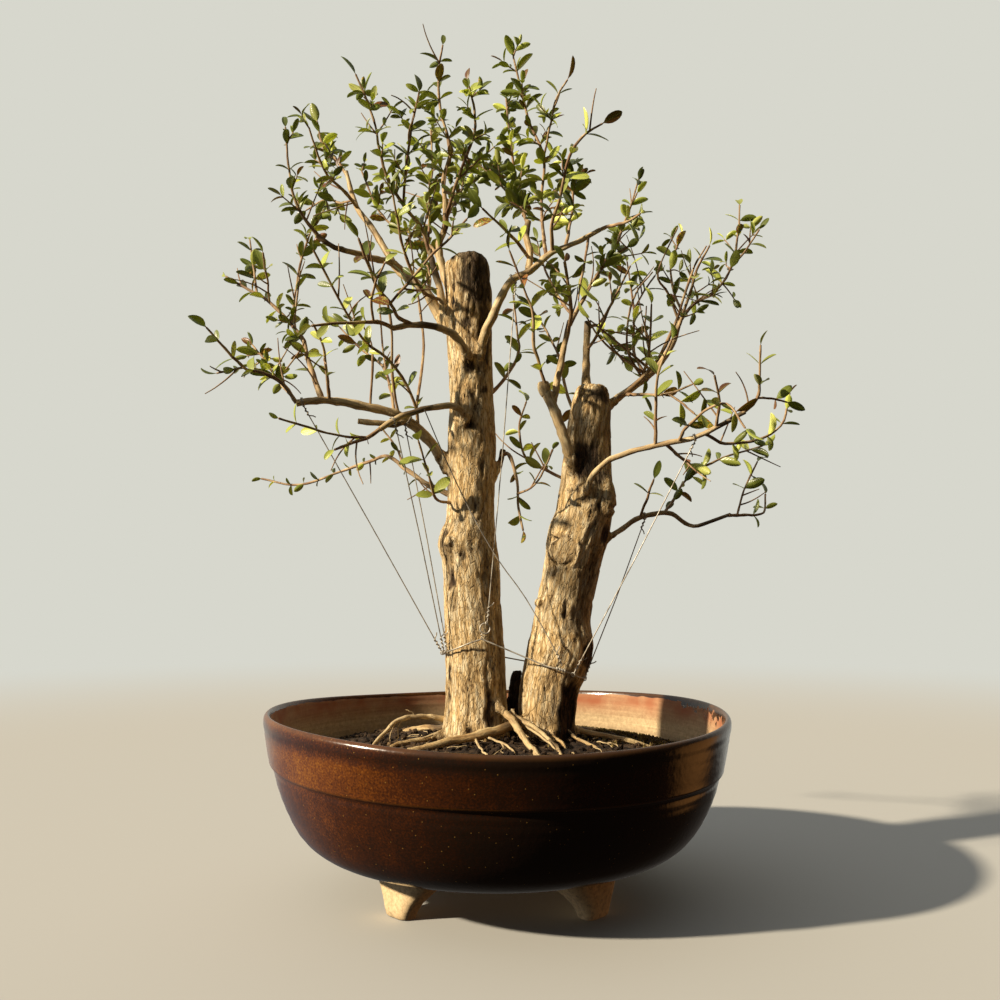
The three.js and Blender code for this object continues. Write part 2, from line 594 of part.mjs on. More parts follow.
// The air between two round stretches: the distance of their middle lines less both radii.
function airBetween(p, q) {
  const u = p.b.clone().sub(p.a);
  const v = q.b.clone().sub(q.a);
  const w = p.a.clone().sub(q.a);
  const [uu, uv, vv, uw, vw] = [u.dot(u), u.dot(v), v.dot(v), u.dot(w), v.dot(w)];
  const spread = uu * vv - uv * uv;
  let s = spread > 1e-9 ? clamp((uv * vw - vv * uw) / spread, 0, 1) : 0;
  let t = (uv * s + vw) / vv;
  if (t < 0 || t > 1) {
    t = clamp(t, 0, 1);
    s = clamp((uv * t - uw) / uu, 0, 1);
  }
  const near = p.a.clone().addScaledVector(u, s);
  const far = q.a.clone().addScaledVector(v, t);
  return near.distanceTo(far) - p.radius - q.radius;
}

// ---------------------------------------------------------------- leaves and shoots
// A frame at each point of a shoot: its direction, and two directions square to it that turn
// as little as they can. A leaf stands on one of the shoot's four faces: 0 and 2 look along
// `aside`, 1 and 3 along `across`.
function frames(path, startTurn) {
  const along = tangents(path);
  const aside = new THREE.Vector3(along[0].y, -along[0].x, 0.01).normalize();
  aside.applyAxisAngle(along[0], startTurn);
  return path.map((point, i) => {
    aside.addScaledVector(along[i], -aside.dot(along[i])).normalize();
    return { point, along: along[i], aside: aside.clone() };
  });
}

// The frame a share of the way from one frame to the next.
function frameBetween(from, to, share) {
  const along = from.along.clone().lerp(to.along, share).normalize();
  const aside = from.aside.clone().lerp(to.aside, share);
  aside.addScaledVector(along, -aside.dot(along)).normalize();
  return { point: from.point.clone().lerp(to.point, share), along, aside };
}

// The leaves of a shoot: opposite pairs, each pair turned a quarter from the last, and one leaf
// at the tip. Every draw is made for each leaf, so that the order never changes.
function leafPlaces(path, seed) {
  const random = randomFrom(seed);
  const within = ([low, high]) => low + (high - low) * random();
  const skeleton = frames(path, 2 * Math.PI * random());
  const starts = path.map(() => 0);
  for (let i = 1; i < path.length; i++) starts[i] = starts[i - 1] + path[i].distanceTo(path[i - 1]);
  const total = starts.at(-1);
  const pairs = Math.max(1, Math.floor((total - BARE_BASE) / PAIR_STEP));
  const places = [];
  for (let pair = 0; pair <= pairs; pair++) {
    const tip = pair === pairs;
    const distance = tip ? total : total - (pairs - pair) * PAIR_STEP + 4 * random();
    const i = Math.max(1, starts.findIndex((start) => start >= distance - 1e-6));
    const share = (distance - starts[i - 1]) / (starts[i] - starts[i - 1]);
    const frame = frameBetween(skeleton[i - 1], skeleton[i], share);
    for (const face of tip ? [-1] : [pair % 2, (pair % 2) + 2]) {
      const lean = tip ? radians(10 + 12 * random()) : radians(40 + 24 * random());
      const roll = radians(60 * (random() - 0.5));
      const length = within(LEAF_LENGTH);
      const width = length * within(LEAF_SLENDER);
      const solid = tip || pair % PAIRS_KEPT === 1;
      places.push({ frame, distance, face, lean, roll, length, width, solid });
    }
  }
  return { places, skeleton, starts };
}

// A leaf's middle line and its upper side. The upper side looks to the shoot's tip.
function leafAxes({ frame, face, lean, roll }) {
  const { along, aside } = frame;
  const across = new THREE.Vector3().crossVectors(along, aside);
  const out = (face % 2 === 1 ? across : aside).clone().multiplyScalar(face > 1 ? -1 : 1);
  const axis = along.clone().multiplyScalar(Math.cos(lean)).addScaledVector(out, Math.sin(lean));
  const facing = along.clone().addScaledVector(axis, -along.dot(axis)).normalize();
  facing.applyAxisAngle(axis, face < 0 ? 0 : roll);
  return { axis, facing };
}

// The shoot is a four-sided bar. A pair of leaves stands between two close rings, each drawn
// out of one face of the bar: a narrow stalk, one or two broad sections and a point.
function makeTwig([baseRadius, tipRadius, ...points], name, seed) {
  const path = points.map(vec);
  const { places, skeleton, starts } = leafPlaces(path, seed);
  const total = starts.at(-1);
  const grown = places.filter((place) => place.solid && leafIsClear(place, name));
  const nodes = new Map();
  for (const leaf of grown.filter(({ face }) => face >= 0)) {
    if (!nodes.has(leaf.distance)) nodes.set(leaf.distance, { frame: leaf.frame, leaves: [] });
    nodes.get(leaf.distance).leaves.push(leaf);
  }
  const rings = [];
  const addRing = (frame, distance, leaves = []) => rings.push({ frame, distance, leaves });
  skeleton.forEach((frame, i) => {
    const crowded = [...nodes.keys()].some((at) => Math.abs(at - starts[i]) < RING_SPACE);
    if (!crowded || i === 0 || i === path.length - 1) addRing(frame, starts[i]);
  });
  for (const [distance, { frame, leaves }] of nodes) {
    const at = (offset) => ({
      ...frame,
      point: frame.point.clone().addScaledVector(frame.along, offset),
    });
    addRing(at(-NODE_HALF), distance - NODE_HALF, leaves);
    addRing(at(NODE_HALF), distance + NODE_HALF);
  }
  rings.sort((a, b) => a.distance - b.distance);

  const positions = [];
  const triangles = [];
  const addPoint = (p) => positions.push(p.x, p.y, p.z) / 3 - 1;
  const wall = (low, high) =>
    low.forEach((a, k) => {
      const next = (k + 1) % low.length;
      triangles.push(a, low[next], high[next], a, high[next], high[k]);
    });
  const loops = rings.map(({ frame: { point, along, aside }, distance }) => {
    const across = new THREE.Vector3().crossVectors(along, aside);
    const radius = THREE.MathUtils.lerp(baseRadius, tipRadius, distance / total);
    return [-1, 1, 3, 5].map((eighth) => {
      const turn = (eighth * Math.PI) / 4;
      const corner = point.clone().addScaledVector(aside, radius * Math.cos(turn));
      return addPoint(corner.addScaledVector(across, radius * Math.sin(turn)));
    });
  });
  // Draws a leaf out of a face whose corners run anticlockwise from its lower left one.
  const drawOut = (corners, leaf) => {
    const { axis, facing } = leafAxes(leaf);
    const side = new THREE.Vector3().crossVectors(axis, facing).multiplyScalar(-1);
    const section = (share, breadth) =>
      [[-1, -1], [1, -1], [1, 1], [-1, 1]].map(([across, up]) =>
        addPoint(
          leaf.frame.point
            .clone()
            .addScaledVector(axis, share * leaf.length)
            .addScaledVector(side, (across * breadth * leaf.width) / 2)
            .addScaledVector(facing, (up * LEAF_THICKNESS) / 2),
        ),
      );
    let edge = corners;
    for (const [share, breadth] of leaf.length < SMALL_LEAF ? SMALL_SECTIONS : LEAF_SECTIONS) {
      const next = section(share, breadth);
      wall(edge, next);
      edge = next;
    }
    const point = addPoint(leaf.frame.point.clone().addScaledVector(axis, leaf.length));
    edge.forEach((a, k) => triangles.push(a, edge[(k + 1) % 4], point));
  };
  for (let level = 0; level + 1 < loops.length; level++) {
    for (let face = 0; face < 4; face++) {
      const next = (face + 1) % 4;
      const [low, high] = [loops[level], loops[level + 1]];
      const corners = [low[face], low[next], high[next], high[face]];
      const leaf = rings[level].leaves.find((place) => place.face === face);
      if (leaf) drawOut(corners, leaf);
      else triangles.push(...corners.slice(0, 3), corners[0], corners[2], corners[3]);
    }
  }
  const [first, last] = [loops[0], loops.at(-1)];
  triangles.push(first[0], first[2], first[1], first[0], first[3], first[2]);
  const tipLeaf = grown.find(({ face }) => face < 0);
  if (tipLeaf) drawOut(last, tipLeaf);
  else triangles.push(last[0], last[1], last[2], last[0], last[2], last[3]);
  return solidFrom(positions, triangles);
}

// Whether a leaf stays clear of every limb, wire, other shoot and earlier leaf.
function leafIsClear(place, name) {
  const { axis } = leafAxes(place);
  const { frame, length, width } = place;
  const leaf = {
    owner: `${name} leaf`,
    a: frame.point.clone().addScaledVector(axis, 0.34 * length),
    b: frame.point.clone().addScaledVector(axis, length - 0.4 * width),
    radius: 0.42 * width,
  };
  const clear = (other) => other.owner === name || airBetween(leaf, other) >= GAP;
  if (!stretches.every(clear)) return false;
  stretches.push(leaf);
  return true;
}

function makeSpray(name, twigs, room, seed) {
  const solids = twigs.map((twig, i) => makeTwig(twig, name, seed + i));
  return largest(joined(solids).subtract(room));
}

// ---------------------------------------------------------------- wires
const TRUNKS = { left: LEFT_TRUNK, right: RIGHT_TRUNK };

// The trunk's section at a height, between the two measured ones round it.
function sectionAt(trunk, height) {
  const above = trunk.findIndex(([level]) => level > height);
  const [low, high] = [trunk[above - 1], trunk[above]];
  const share = (height - low[0]) / (high[0] - low[0]);
  return low.map((value, i) => value + (high[i] - value) * share);
}

function beltPoint(trunk, angle, height) {
  const [, x, y, radius] = sectionAt(TRUNKS[trunk], height);
  const reach = radius + BARK_RIDGE + BELT_STANDOFF;
  const turn = radians(angle);
  return new THREE.Vector3(x + reach * Math.cos(turn), y + reach * Math.sin(turn), height);
}

function beltHeight(trunk, angle) {
  const [, from, to, fromHeight, toHeight] = BELT.find(
    ([name, high, low]) => name === trunk && angle <= high && angle >= low,
  );
  return THREE.MathUtils.lerp(fromHeight, toHeight, (angle - from) / (to - from));
}

function beltPath() {
  return BELT.flatMap(([trunk, from, to]) => {
    const steps = Math.round((from - to) / BELT_STEP);
    return Array.from({ length: steps + 1 }, (_, i) => {
      const angle = from + ((to - from) * i) / steps;
      return beltPoint(trunk, angle, beltHeight(trunk, angle));
    });
  });
}

// A closed wire through the belt's points.
function makeBelt() {
  const path = beltPath();
  const sides = 4;
  const rings = path.map((point, i) => {
    const before = path[(i - 1 + path.length) % path.length];
    const along = path[(i + 1) % path.length].clone().sub(before).normalize();
    const out = new THREE.Vector3(along.y, -along.x, 0).normalize();
    const up = new THREE.Vector3().crossVectors(out, along);
    return Array.from({ length: sides }, (_, k) => {
      const turn = (2 * Math.PI * k) / sides;
      return point
        .clone()
        .addScaledVector(out, WIRE * Math.cos(turn))
        .addScaledVector(up, WIRE * Math.sin(turn));
    });
  });
  const positions = rings.flat().flatMap((p) => [p.x, p.y, p.z]);
  const triangles = [];
  rings.forEach((_, level) => {
    const next = (level + 1) % rings.length;
    for (let i = 0; i < sides; i++) {
      const j = (i + 1) % sides;
      const [a, b] = [level * sides + i, level * sides + j];
      const [c, d] = [next * sides + j, next * sides + i];
      triangles.push(a, b, c, a, c, d);
    }
  });
  const loop = solidFrom(positions, triangles);
  const closed = loop.volume() > 0 ? loop : solidFrom(positions, triangles.reverse());
  const eye = ring(vec(EYE.centre), new THREE.Vector3(0.2, -1, 0).normalize(), EYE.radius, 10, 4);
  const knotAt = beltPoint('right', KNOT.angle, beltHeight('right', KNOT.angle));
  const knotAlong = new THREE.Vector3(KNOT.length / 2, 0, 0);
  const ends = [knotAt.clone().sub(knotAlong), knotAt.clone().add(knotAlong)];
  const knot = bar(ends.map((p) => p.toArray()), KNOT.radius, KNOT.radius * 0.7, 6);
  return joined([closed, eye, knot]);
}

function limbAt(name, place) {
  const [base, tip, ...points] = LIMBS[name];
  const i = Math.min(Math.floor(place), points.length - 2);
  const [from, to] = [vec(points[i]), vec(points[i + 1])];
  return {
    centre: from.clone().lerp(to, place - i),
    axis: to.clone().sub(from).normalize(),
    radius: THREE.MathUtils.lerp(base, tip, place / (points.length - 1)),
  };
}

// A guy is a taut wire with a loop round its limb and a hook round the belt or its eye.
function makeGuy(name, [limbName, place, trunk, angle]) {
  const limb = limbAt(limbName, place);
  const limbLoop = limb.radius + GAP + WIRE + 0.2;
  const atEye = trunk === 'eye';
  const hookAt = atEye
    ? vec(EYE.centre).add(new THREE.Vector3(0, 0, EYE.radius))
    : beltPoint(trunk, angle, beltHeight(trunk, angle));
  const beltAxis = atEye
    ? new THREE.Vector3(1, 0.2, 0).normalize()
    : new THREE.Vector3(-Math.sin(radians(angle)), Math.cos(radians(angle)), 0);
  const hookRadius = 2 * WIRE + GAP + 0.1;
  const edge = (centre, axis, radius, towards) => {
    const aim = towards.clone().sub(centre);
    aim.addScaledVector(axis, -aim.dot(axis)).normalize();
    return centre.clone().addScaledVector(aim, radius);
  };
  const top = edge(limb.centre, limb.axis, limbLoop, hookAt);
  const foot = edge(hookAt, beltAxis, hookRadius, limb.centre);
  note(name, [foot, top], () => WIRE);
  note('loops', [limb.centre, limb.centre.clone().addScaledVector(limb.axis, 0.1)], () => limbLoop);
  return joined([
    ring(limb.centre, limb.axis, limbLoop, 8, 3),
    ring(hookAt, beltAxis, hookRadius, 6, 3),
    bar([foot.toArray(), top.toArray()], WIRE, WIRE, 4),
  ]);
}

// ---------------------------------------------------------------- the part
const MATERIALS = {
  glaze: { color: 0x4a3626, roughness: 0.3, metalness: 0 },
  soil: { color: 0x4b3a2c, roughness: 1, metalness: 0 },
  bark: { color: 0xb59a78, roughness: 0.85, metalness: 0 },
  foliage: { color: 0x4c5f28, roughness: 0.45, metalness: 0 },
  wire: { color: 0x9a9893, roughness: 0.4, metalness: 1 },
};

const bonsai = new THREE.Group();
bonsai.name = 'pomegranate_bonsai';

function addMesh(name, solid, material) {
  const { vertProperties, triVerts } = solid.getMesh();
  const geometry = new THREE.BufferGeometry();
  geometry.setAttribute('position', new THREE.BufferAttribute(vertProperties, 3));
  geometry.setIndex(new THREE.BufferAttribute(triVerts, 1));
  const mesh = new THREE.Mesh(geometry, new THREE.MeshStandardMaterial(MATERIALS[material]));
  mesh.name = name;
  bonsai.add(mesh);
}

for (const [name, [base, tip, ...points]] of Object.entries(LIMBS)) {
  note(name, points.map(vec), (i) => THREE.MathUtils.lerp(base, tip, i / (points.length - 1)));
}
for (const trunk of Object.values(TRUNKS)) {
  const middle = trunk.map(([height, x, y]) => vec([x, y, height]));
  note('trunks', middle, (i) => Math.max(trunk[i][3], trunk[i + 1][3]) + BARK_RIDGE);
}
for (const [name, twigs] of Object.entries(SHOOTS)) {
  for (const [base, , ...points] of twigs) note(name, points.map(vec), () => base);
}

addMesh('pot', makePot(), 'glaze');
const woodRoom = makeWood(GAP + 0.15);
addMesh('soil', makeSoil(woodRoom), 'soil');
addMesh('trunks', makeWood(), 'bark');
addMesh('belt_wire', makeBelt(), 'wire');
for (const [name, guy] of Object.entries(GUYS)) addMesh(name, makeGuy(name, guy), 'wire');
Object.entries(SHOOTS).forEach(([name, twigs], i) => {
  addMesh(`spray_${name}`, makeSpray(name, twigs, woodRoom, LEAF_SEED + 10 * i), 'foliage');
});

export default bonsai;
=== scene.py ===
# %% [markdown]
# # A pomegranate bonsai
# The real object is a small tree in a round stoneware bowl: two old trunks joined under the
# soil, a crown of thin limbs and leafy shoots, roots that lie on the soil, and training wire.
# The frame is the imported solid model. It says where everything is, and each finer piece made
# here stands in the place of one or more of its nodes. Blender works in metres; the sizes in
# this lesson are written in millimetres and turned to metres where they are used.

# %% The frame
import math
import random

import bmesh
import bpy
import numpy as np
from mathutils import Matrix, Quaternion, Vector, noise


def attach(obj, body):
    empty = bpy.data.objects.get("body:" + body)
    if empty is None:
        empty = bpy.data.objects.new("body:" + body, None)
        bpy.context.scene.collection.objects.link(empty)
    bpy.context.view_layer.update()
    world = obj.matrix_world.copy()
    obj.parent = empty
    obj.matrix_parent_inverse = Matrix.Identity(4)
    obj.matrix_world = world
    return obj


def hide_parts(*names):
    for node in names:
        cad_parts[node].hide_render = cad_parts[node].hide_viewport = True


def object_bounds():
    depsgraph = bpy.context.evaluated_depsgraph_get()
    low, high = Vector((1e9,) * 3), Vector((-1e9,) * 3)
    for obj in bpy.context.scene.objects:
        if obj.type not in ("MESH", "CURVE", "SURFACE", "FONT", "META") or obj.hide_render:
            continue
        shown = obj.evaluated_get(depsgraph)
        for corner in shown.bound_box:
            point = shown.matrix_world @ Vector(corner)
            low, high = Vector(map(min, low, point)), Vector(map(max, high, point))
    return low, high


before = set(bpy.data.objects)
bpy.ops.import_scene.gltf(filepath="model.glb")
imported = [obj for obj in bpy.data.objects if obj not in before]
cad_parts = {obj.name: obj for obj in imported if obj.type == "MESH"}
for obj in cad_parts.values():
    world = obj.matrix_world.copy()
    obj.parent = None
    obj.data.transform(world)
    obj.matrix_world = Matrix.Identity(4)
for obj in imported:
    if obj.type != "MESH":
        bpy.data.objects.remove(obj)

MM = 0.001
cad_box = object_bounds()
print("the solid model:", [tuple(round(c / MM) for c in corner) for corner in cad_box])

# %% [markdown]
# ## The camera
# A tree is looked at from its front, with the eye a little over the rim of the bowl and turned
# slightly up. A lens as long as its sensor is wide gives the same perspective as the eye has
# from less than a metre away.

# %% The camera
EYE_PLACE = Vector((2.2, -879.5, 261)) * MM
EYE_TILT = 4.63  # degrees above level
LENS = 36  # mm, with a sensor as wide

bpy.ops.object.camera_add(location=EYE_PLACE, rotation=(math.radians(90 + EYE_TILT), 0, 0))
camera = bpy.context.object
camera.data.lens = LENS
camera.data.sensor_width = LENS
bpy.context.scene.camera = camera
print("camera at", [round(c, 3) for c in camera.location])

# %% [markdown]
# ## Small tools
# A few helpers are used for every piece. Blender's operators act on all that is selected, so
# `start_afresh` clears the selection first. `select_where` picks vertices or faces by their
# place, as a maker would pick them with the mouse.

# %% Small tools
def start_afresh():
    if bpy.context.object and bpy.context.object.mode != "OBJECT":
        bpy.ops.object.mode_set(mode="OBJECT")
    bpy.ops.object.select_all(action="DESELECT")


def take(piece):
    """Makes the piece the only selected and the active one."""
    start_afresh()
    piece.select_set(True)
    bpy.context.view_layer.objects.active = piece
    return piece


def select_where(piece, test, faces=False):
    """In edit mode, selects the vertices whose place passes the test, or the faces whose middle
    and normal do."""
    mesh = bmesh.from_edit_mesh(piece.data)
    bpy.ops.mesh.select_all(action="DESELECT")
    bpy.ops.mesh.select_mode(type="FACE" if faces else "VERT")
    if faces:
        for face in mesh.faces:
            face.select_set(test(face.calc_center_median(), face.normal))
    else:
        for vertex in mesh.verts:
            vertex.select_set(test(vertex.co))
    mesh.select_flush_mode()
    bmesh.update_edit_mesh(piece.data)


def apply_modifier(piece, kind, **settings):
    """Adds a modifier with its settings and applies it."""
    take(piece)
    modifier = piece.modifiers.new(kind.lower(), kind)
    for name, value in settings.items():
        setattr(modifier, name, value)
    bpy.ops.object.modifier_apply(modifier=modifier.name)


def points_of(piece, kind="co"):
    """The piece's vertices as rows of metres, or their normals where the kind is "normal"."""
    flat = np.empty(len(piece.data.vertices) * 3, np.float32)
    piece.data.vertices.foreach_get(kind, flat)
    return flat.reshape(-1, 3).astype(float)


def set_points(piece, points):
    piece.data.vertices.foreach_set("co", np.asarray(points, np.float32).ravel())
    piece.data.update()


def mark(piece, name, values):
    """Keeps a number, or a row of three, for each vertex, for a material to read."""
    values = np.asarray(values, np.float32)
    kind, field = ("FLOAT", "value") if values.ndim == 1 else ("FLOAT_VECTOR", "vector")
    layer = piece.data.attributes.new(name, kind, "POINT")
    layer.data.foreach_set(field, values.ravel())


def add_mesh(name, points, edges, faces):
    """A new piece of points in metres, joined by edges or faces."""
    mesh = bpy.data.meshes.new(name)
    mesh.from_pydata(points, edges, faces)
    piece = bpy.data.objects.new(name, mesh)
    bpy.context.collection.objects.link(piece)
    return piece


def close_up():
    """Leaves edit mode with doubled points merged and all faces turned outwards."""
    bpy.ops.mesh.select_all(action="SELECT")
    bpy.ops.mesh.remove_doubles(threshold=0.01 * MM)
    bpy.ops.mesh.normals_make_consistent(inside=False)
    bpy.ops.object.mode_set(mode="OBJECT")


def smooth_route(points, steps):
    """A soft curve (Catmull-Rom) through a list of points, with so many steps to each stretch."""
    rows = np.array(points, float)
    before = np.vstack([2 * rows[0] - rows[1], rows[:-1]])
    after = np.vstack([rows[1:], 2 * rows[-1] - rows[-2]])
    slope = (after - before) / 2
    made = []
    for i in range(len(rows) - 1):
        t = np.linspace(0, 1, steps, endpoint=False)[:, None]
        hold = 2 * t**3 - 3 * t**2 + 1
        ease = t**3 - 2 * t**2 + t
        reach = t**3 - t**2
        made.append(hold * rows[i] + ease * slope[i] + (1 - hold) * rows[i + 1]
                    + reach * slope[i + 1])
    return np.vstack([*made, rows[-1:]])


def random_way(draw, spread):
    """A random vector, short or long by the spread."""
    return Vector([draw.gauss(0, spread) for _ in range(3)])


def smoothstep(low, high, values):
    """0 below low, 1 above high, and a soft rise between them."""
    share = np.clip((np.asarray(values, float) - low) / (high - low), 0, 1)
    return share * share * (3 - 2 * share)


def grain(points, size, seed=0.0):
    """Soft noise from about -1 to 1 at each point. size is the width of one lump, in mm, or one
    width for each axis."""
    scaled = points / MM / np.asarray(size, float) + seed
    return np.array([noise.noise(Vector(row)) for row in scaled])


def round_bars(name, bars, resolution):
    """One mesh of round bars. Each bar is (points in mm, radius at each point in mm). They are
    curves with a round bevel, converted, so both ends are closed."""
    start_afresh()
    curve = bpy.data.curves.new(name, "CURVE")
    curve.dimensions = "3D"
    curve.bevel_depth = MM
    curve.bevel_resolution = resolution
    curve.use_fill_caps = True
    for points, radii in bars:
        spline = curve.splines.new("POLY")
        spline.points.add(len(points) - 1)
        rows = np.column_stack([np.asarray(points) * MM, np.ones(len(points))])
        spline.points.foreach_set("co", rows.ravel())
        spline.points.foreach_set("radius", np.asarray(radii, float))
    piece = bpy.data.objects.new(name, curve)
    bpy.context.collection.objects.link(piece)
    take(piece)
    bpy.ops.object.convert(target="MESH")
    bpy.ops.object.mode_set(mode="EDIT")
    close_up()
    return bpy.context.object


def spun(name, outline, steps):
    """An outline of [radius, height] turned once round the upright axis. Where it meets the
    axis its points become one pole, and where it closes on itself it makes a solid."""
    rows = [(radius * MM, 0, height * MM) for radius, height in outline]
    edges = [(i, i + 1) for i in range(len(rows) - 1)]
    piece = take(add_mesh(name, rows, edges, []))
    bpy.ops.object.mode_set(mode="EDIT")
    bpy.ops.mesh.select_all(action="SELECT")
    bpy.ops.mesh.spin(steps=steps, angle=math.tau, center=(0, 0, 0), axis=(0, 0, 1))
    close_up()
    return piece


def finish_piece(piece, nodes, material=None, angle=50):
    """A finished piece: smooth where it is round, riding on the frame in its nodes' place. It
    keeps the materials that it has, or gets one instead."""
    take(piece)
    if material:
        piece.data.materials.clear()
        piece.data.materials.append(material)
    bpy.ops.object.shade_smooth_by_angle(angle=math.radians(angle))
    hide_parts(*nodes)
    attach(piece, "root")
    sides = sum(len(face.vertices) - 2 for face in piece.data.polygons)
    print(f"{piece.name}: {sides} triangles")


# %% [markdown]
# ## Materials
# A colour is written as it looks on a screen, as an sRGB hex value, and turned to the linear
# numbers that Blender's shaders use. `add_node` adds one node with its settings and its
# inputs. An input is a value, another node's output, or a node, which stands for its first
# output.

# %% Tools for materials
def linear(colour):
    """The linear red, green, blue and alpha of an sRGB hex colour such as #b08d5f."""
    channels = [int(colour[i:i + 2], 16) / 255 for i in (1, 3, 5)]
    return [c / 12.92 if c <= 0.04045 else ((c + 0.055) / 1.055) ** 2.4 for c in channels] + [1]


def set_inputs(node, inputs):
    """Gives some of a node's inputs their values or links."""
    for name, value in inputs.items():
        if isinstance(value, bpy.types.Node):
            value = value.outputs[0]
        if isinstance(value, bpy.types.NodeSocket):
            node.id_data.links.new(value, node.inputs[name])
        else:
            node.inputs[name].default_value = value


def set_stops(elements, stops):
    """Gives a colour ramp its stops, as (place, hex colour)."""
    while len(elements) < len(stops):
        elements.new(1)
    for element, (place, colour) in zip(elements, stops):
        element.position = place
        element.color = linear(colour)


def add_node(tree, kind, inputs=None, stops=None, **settings):
    """A new node with its inputs and settings and, where it is a colour ramp, its stops."""
    node = tree.nodes.new("ShaderNode" + kind)
    for name, value in settings.items():
        setattr(node, name, value)
    set_inputs(node, inputs or {})
    if stops:
        set_stops(node.color_ramp.elements, stops)
    return node


def new_material(name):
    material = bpy.data.materials.new(name)
    material.use_nodes = True
    tree = material.node_tree
    return material, tree, tree.nodes["Principled BSDF"]


def per_mm(width):
    """The scale of a noise whose lumps are so many millimetres wide."""
    return 1 / (width * MM)


def stretched_noise(tree, place, sizes, **inputs):
    """Noise whose lumps have a size in mm along each of three axes."""
    scaled = add_node(tree, "VectorMath", {0: place, 1: [per_mm(size) for size in sizes]},
                      operation="MULTIPLY")
    values = {"Vector": scaled, "Scale": 1, "Detail": 4, "Roughness": 0.6}
    return add_node(tree, "TexNoise", {**values, **inputs})


# %% [markdown]
# ## Floor and light
# A studio sweep is one sheet of pale paper that lies on the table and curves up behind. This
# one is turned all the way round, so that no edge shows from any side: half its section is
# spun round the tree. The paper is only a backdrop, so it neither shades nor tints the tree.
# Its far part gives off an even light of its own, as a backdrop lit apart from the subject does.
# The key light is far away and small, as low sun is, and comes from the left and a little from
# the front. A weak light opens the shadows: cool from above and the left, brown from below.

# %% The sweep
SWEEP_RADIUS = 5500
SWEEP_BEND = 1800
SWEEP_TOP = 6500
SWEEP_NEAR = 2000  # a ring of points inside the flat floor
BEND_POINTS = 17
SWEEP_STEPS = 96

bend = [
    [SWEEP_RADIUS + SWEEP_BEND * math.sin(turn), SWEEP_BEND * (1 - math.cos(turn))]
    for turn in np.linspace(0, math.pi / 2, BEND_POINTS)]
sweep_section = [[0, 0], [SWEEP_NEAR, 0], *bend, [bend[-1][0], SWEEP_TOP]]
sweep = spun("paper_sweep", sweep_section, SWEEP_STEPS)
take(sweep)
bpy.ops.object.mode_set(mode="EDIT")
bpy.ops.mesh.select_all(action="SELECT")
bpy.ops.mesh.flip_normals()
bpy.ops.object.mode_set(mode="OBJECT")
bpy.ops.object.shade_smooth()
sweep.visible_shadow = False
sweep.visible_diffuse = False
sweep.visible_glossy = False
paper, tree, shader = new_material("matt_paper")
set_inputs(shader, {"Base Color": linear("#bcbab2"), "Roughness": 0.95, "Specular IOR Level": 0.1})
place = add_node(tree, "TexCoord").outputs["Object"]
away = add_node(tree, "VectorMath", {0: place}, operation="LENGTH")
far = add_node(
    tree, "MapRange", {"Value": away.outputs["Value"], "From Min": 1.0, "From Max": 2.6},
    interpolation_type="SMOOTHSTEP")
even = add_node(tree, "Emission", {"Color": linear("#d7d7cd")})
mix = add_node(tree, "MixShader", {0: far, 1: shader, 2: even})
set_inputs(tree.nodes["Material Output"], {"Surface": mix})
paper.cycles.emission_sampling = "NONE"  # it is seen, but it isn't a lamp
sweep.data.materials.append(paper)

# %% Lights
KEY_TOWARDS = Vector((-1.745, -0.762, 1.0))  # from the tree towards the lamp
KEY_STRENGTH = 6.5
KEY_SPREAD = 2.5  # degrees across: soft edges on the shadows
KEY_COLOUR = "#fff0d8"
FILL_TOWARDS = Vector((-0.6, 0.35, 0.7)).normalized()
FILL = [(0.0, "#2a221b"), (0.4, "#55514c"), (1.0, "#bcc2ca")]  # from the far side to the near
BACKDROP = "#c4c2b8"  # seen behind the tree, down to a little below the level
KICKER = ((0.93, 0.34, -0.14), "#e39a55")  # a soft warm light at the right, and its direction

bpy.ops.object.light_add(type="SUN", location=KEY_TOWARDS)
key = bpy.context.object
key.rotation_euler = (-KEY_TOWARDS).to_track_quat("-Z", "Y").to_euler()
key.data.energy = KEY_STRENGTH
key.data.angle = math.radians(KEY_SPREAD)
key.data.color = linear(KEY_COLOUR)[:3]

world = bpy.data.worlds.new("soft_room")
world.use_nodes = True
tree = world.node_tree
heading = add_node(tree, "TexCoord").outputs["Generated"]
facing = add_node(tree, "VectorMath", {0: heading, 1: FILL_TOWARDS}, operation="DOT_PRODUCT")
near = add_node(
    tree, "MapRange", {"Value": facing.outputs["Value"], "From Min": -0.6, "From Max": 1.0})
fill = add_node(tree, "ValToRGB", {"Fac": near}, stops=FILL)
axes = add_node(tree, "SeparateXYZ", {"Vector": heading}).outputs
behind = add_node(tree, "MapRange", {"Value": axes["Y"], "From Min": 0.35, "From Max": 0.8})
above = add_node(tree, "MapRange", {"Value": axes["Z"], "From Min": -0.28, "From Max": -0.2})
behind = add_node(tree, "Math", {0: behind, 1: above}, operation="MULTIPLY")
room = add_node(tree, "MixRGB", {"Fac": behind, "Color1": fill, "Color2": linear(BACKDROP)})
kicker = add_node(
    tree, "VectorMath", {0: heading, 1: Vector(KICKER[0]).normalized()}, operation="DOT_PRODUCT")
kicker = add_node(
    tree, "MapRange", {"Value": kicker.outputs["Value"], "From Min": 0.93, "From Max": 0.975})
room = add_node(tree, "MixRGB", {"Fac": kicker, "Color1": room, "Color2": linear(KICKER[1])})
set_inputs(tree.nodes["Background"], {"Color": room})
bpy.context.scene.world = world
bpy.context.scene.view_settings.view_transform = "Standard"
print("key light from", [round(c, 2) for c in KEY_TOWARDS])

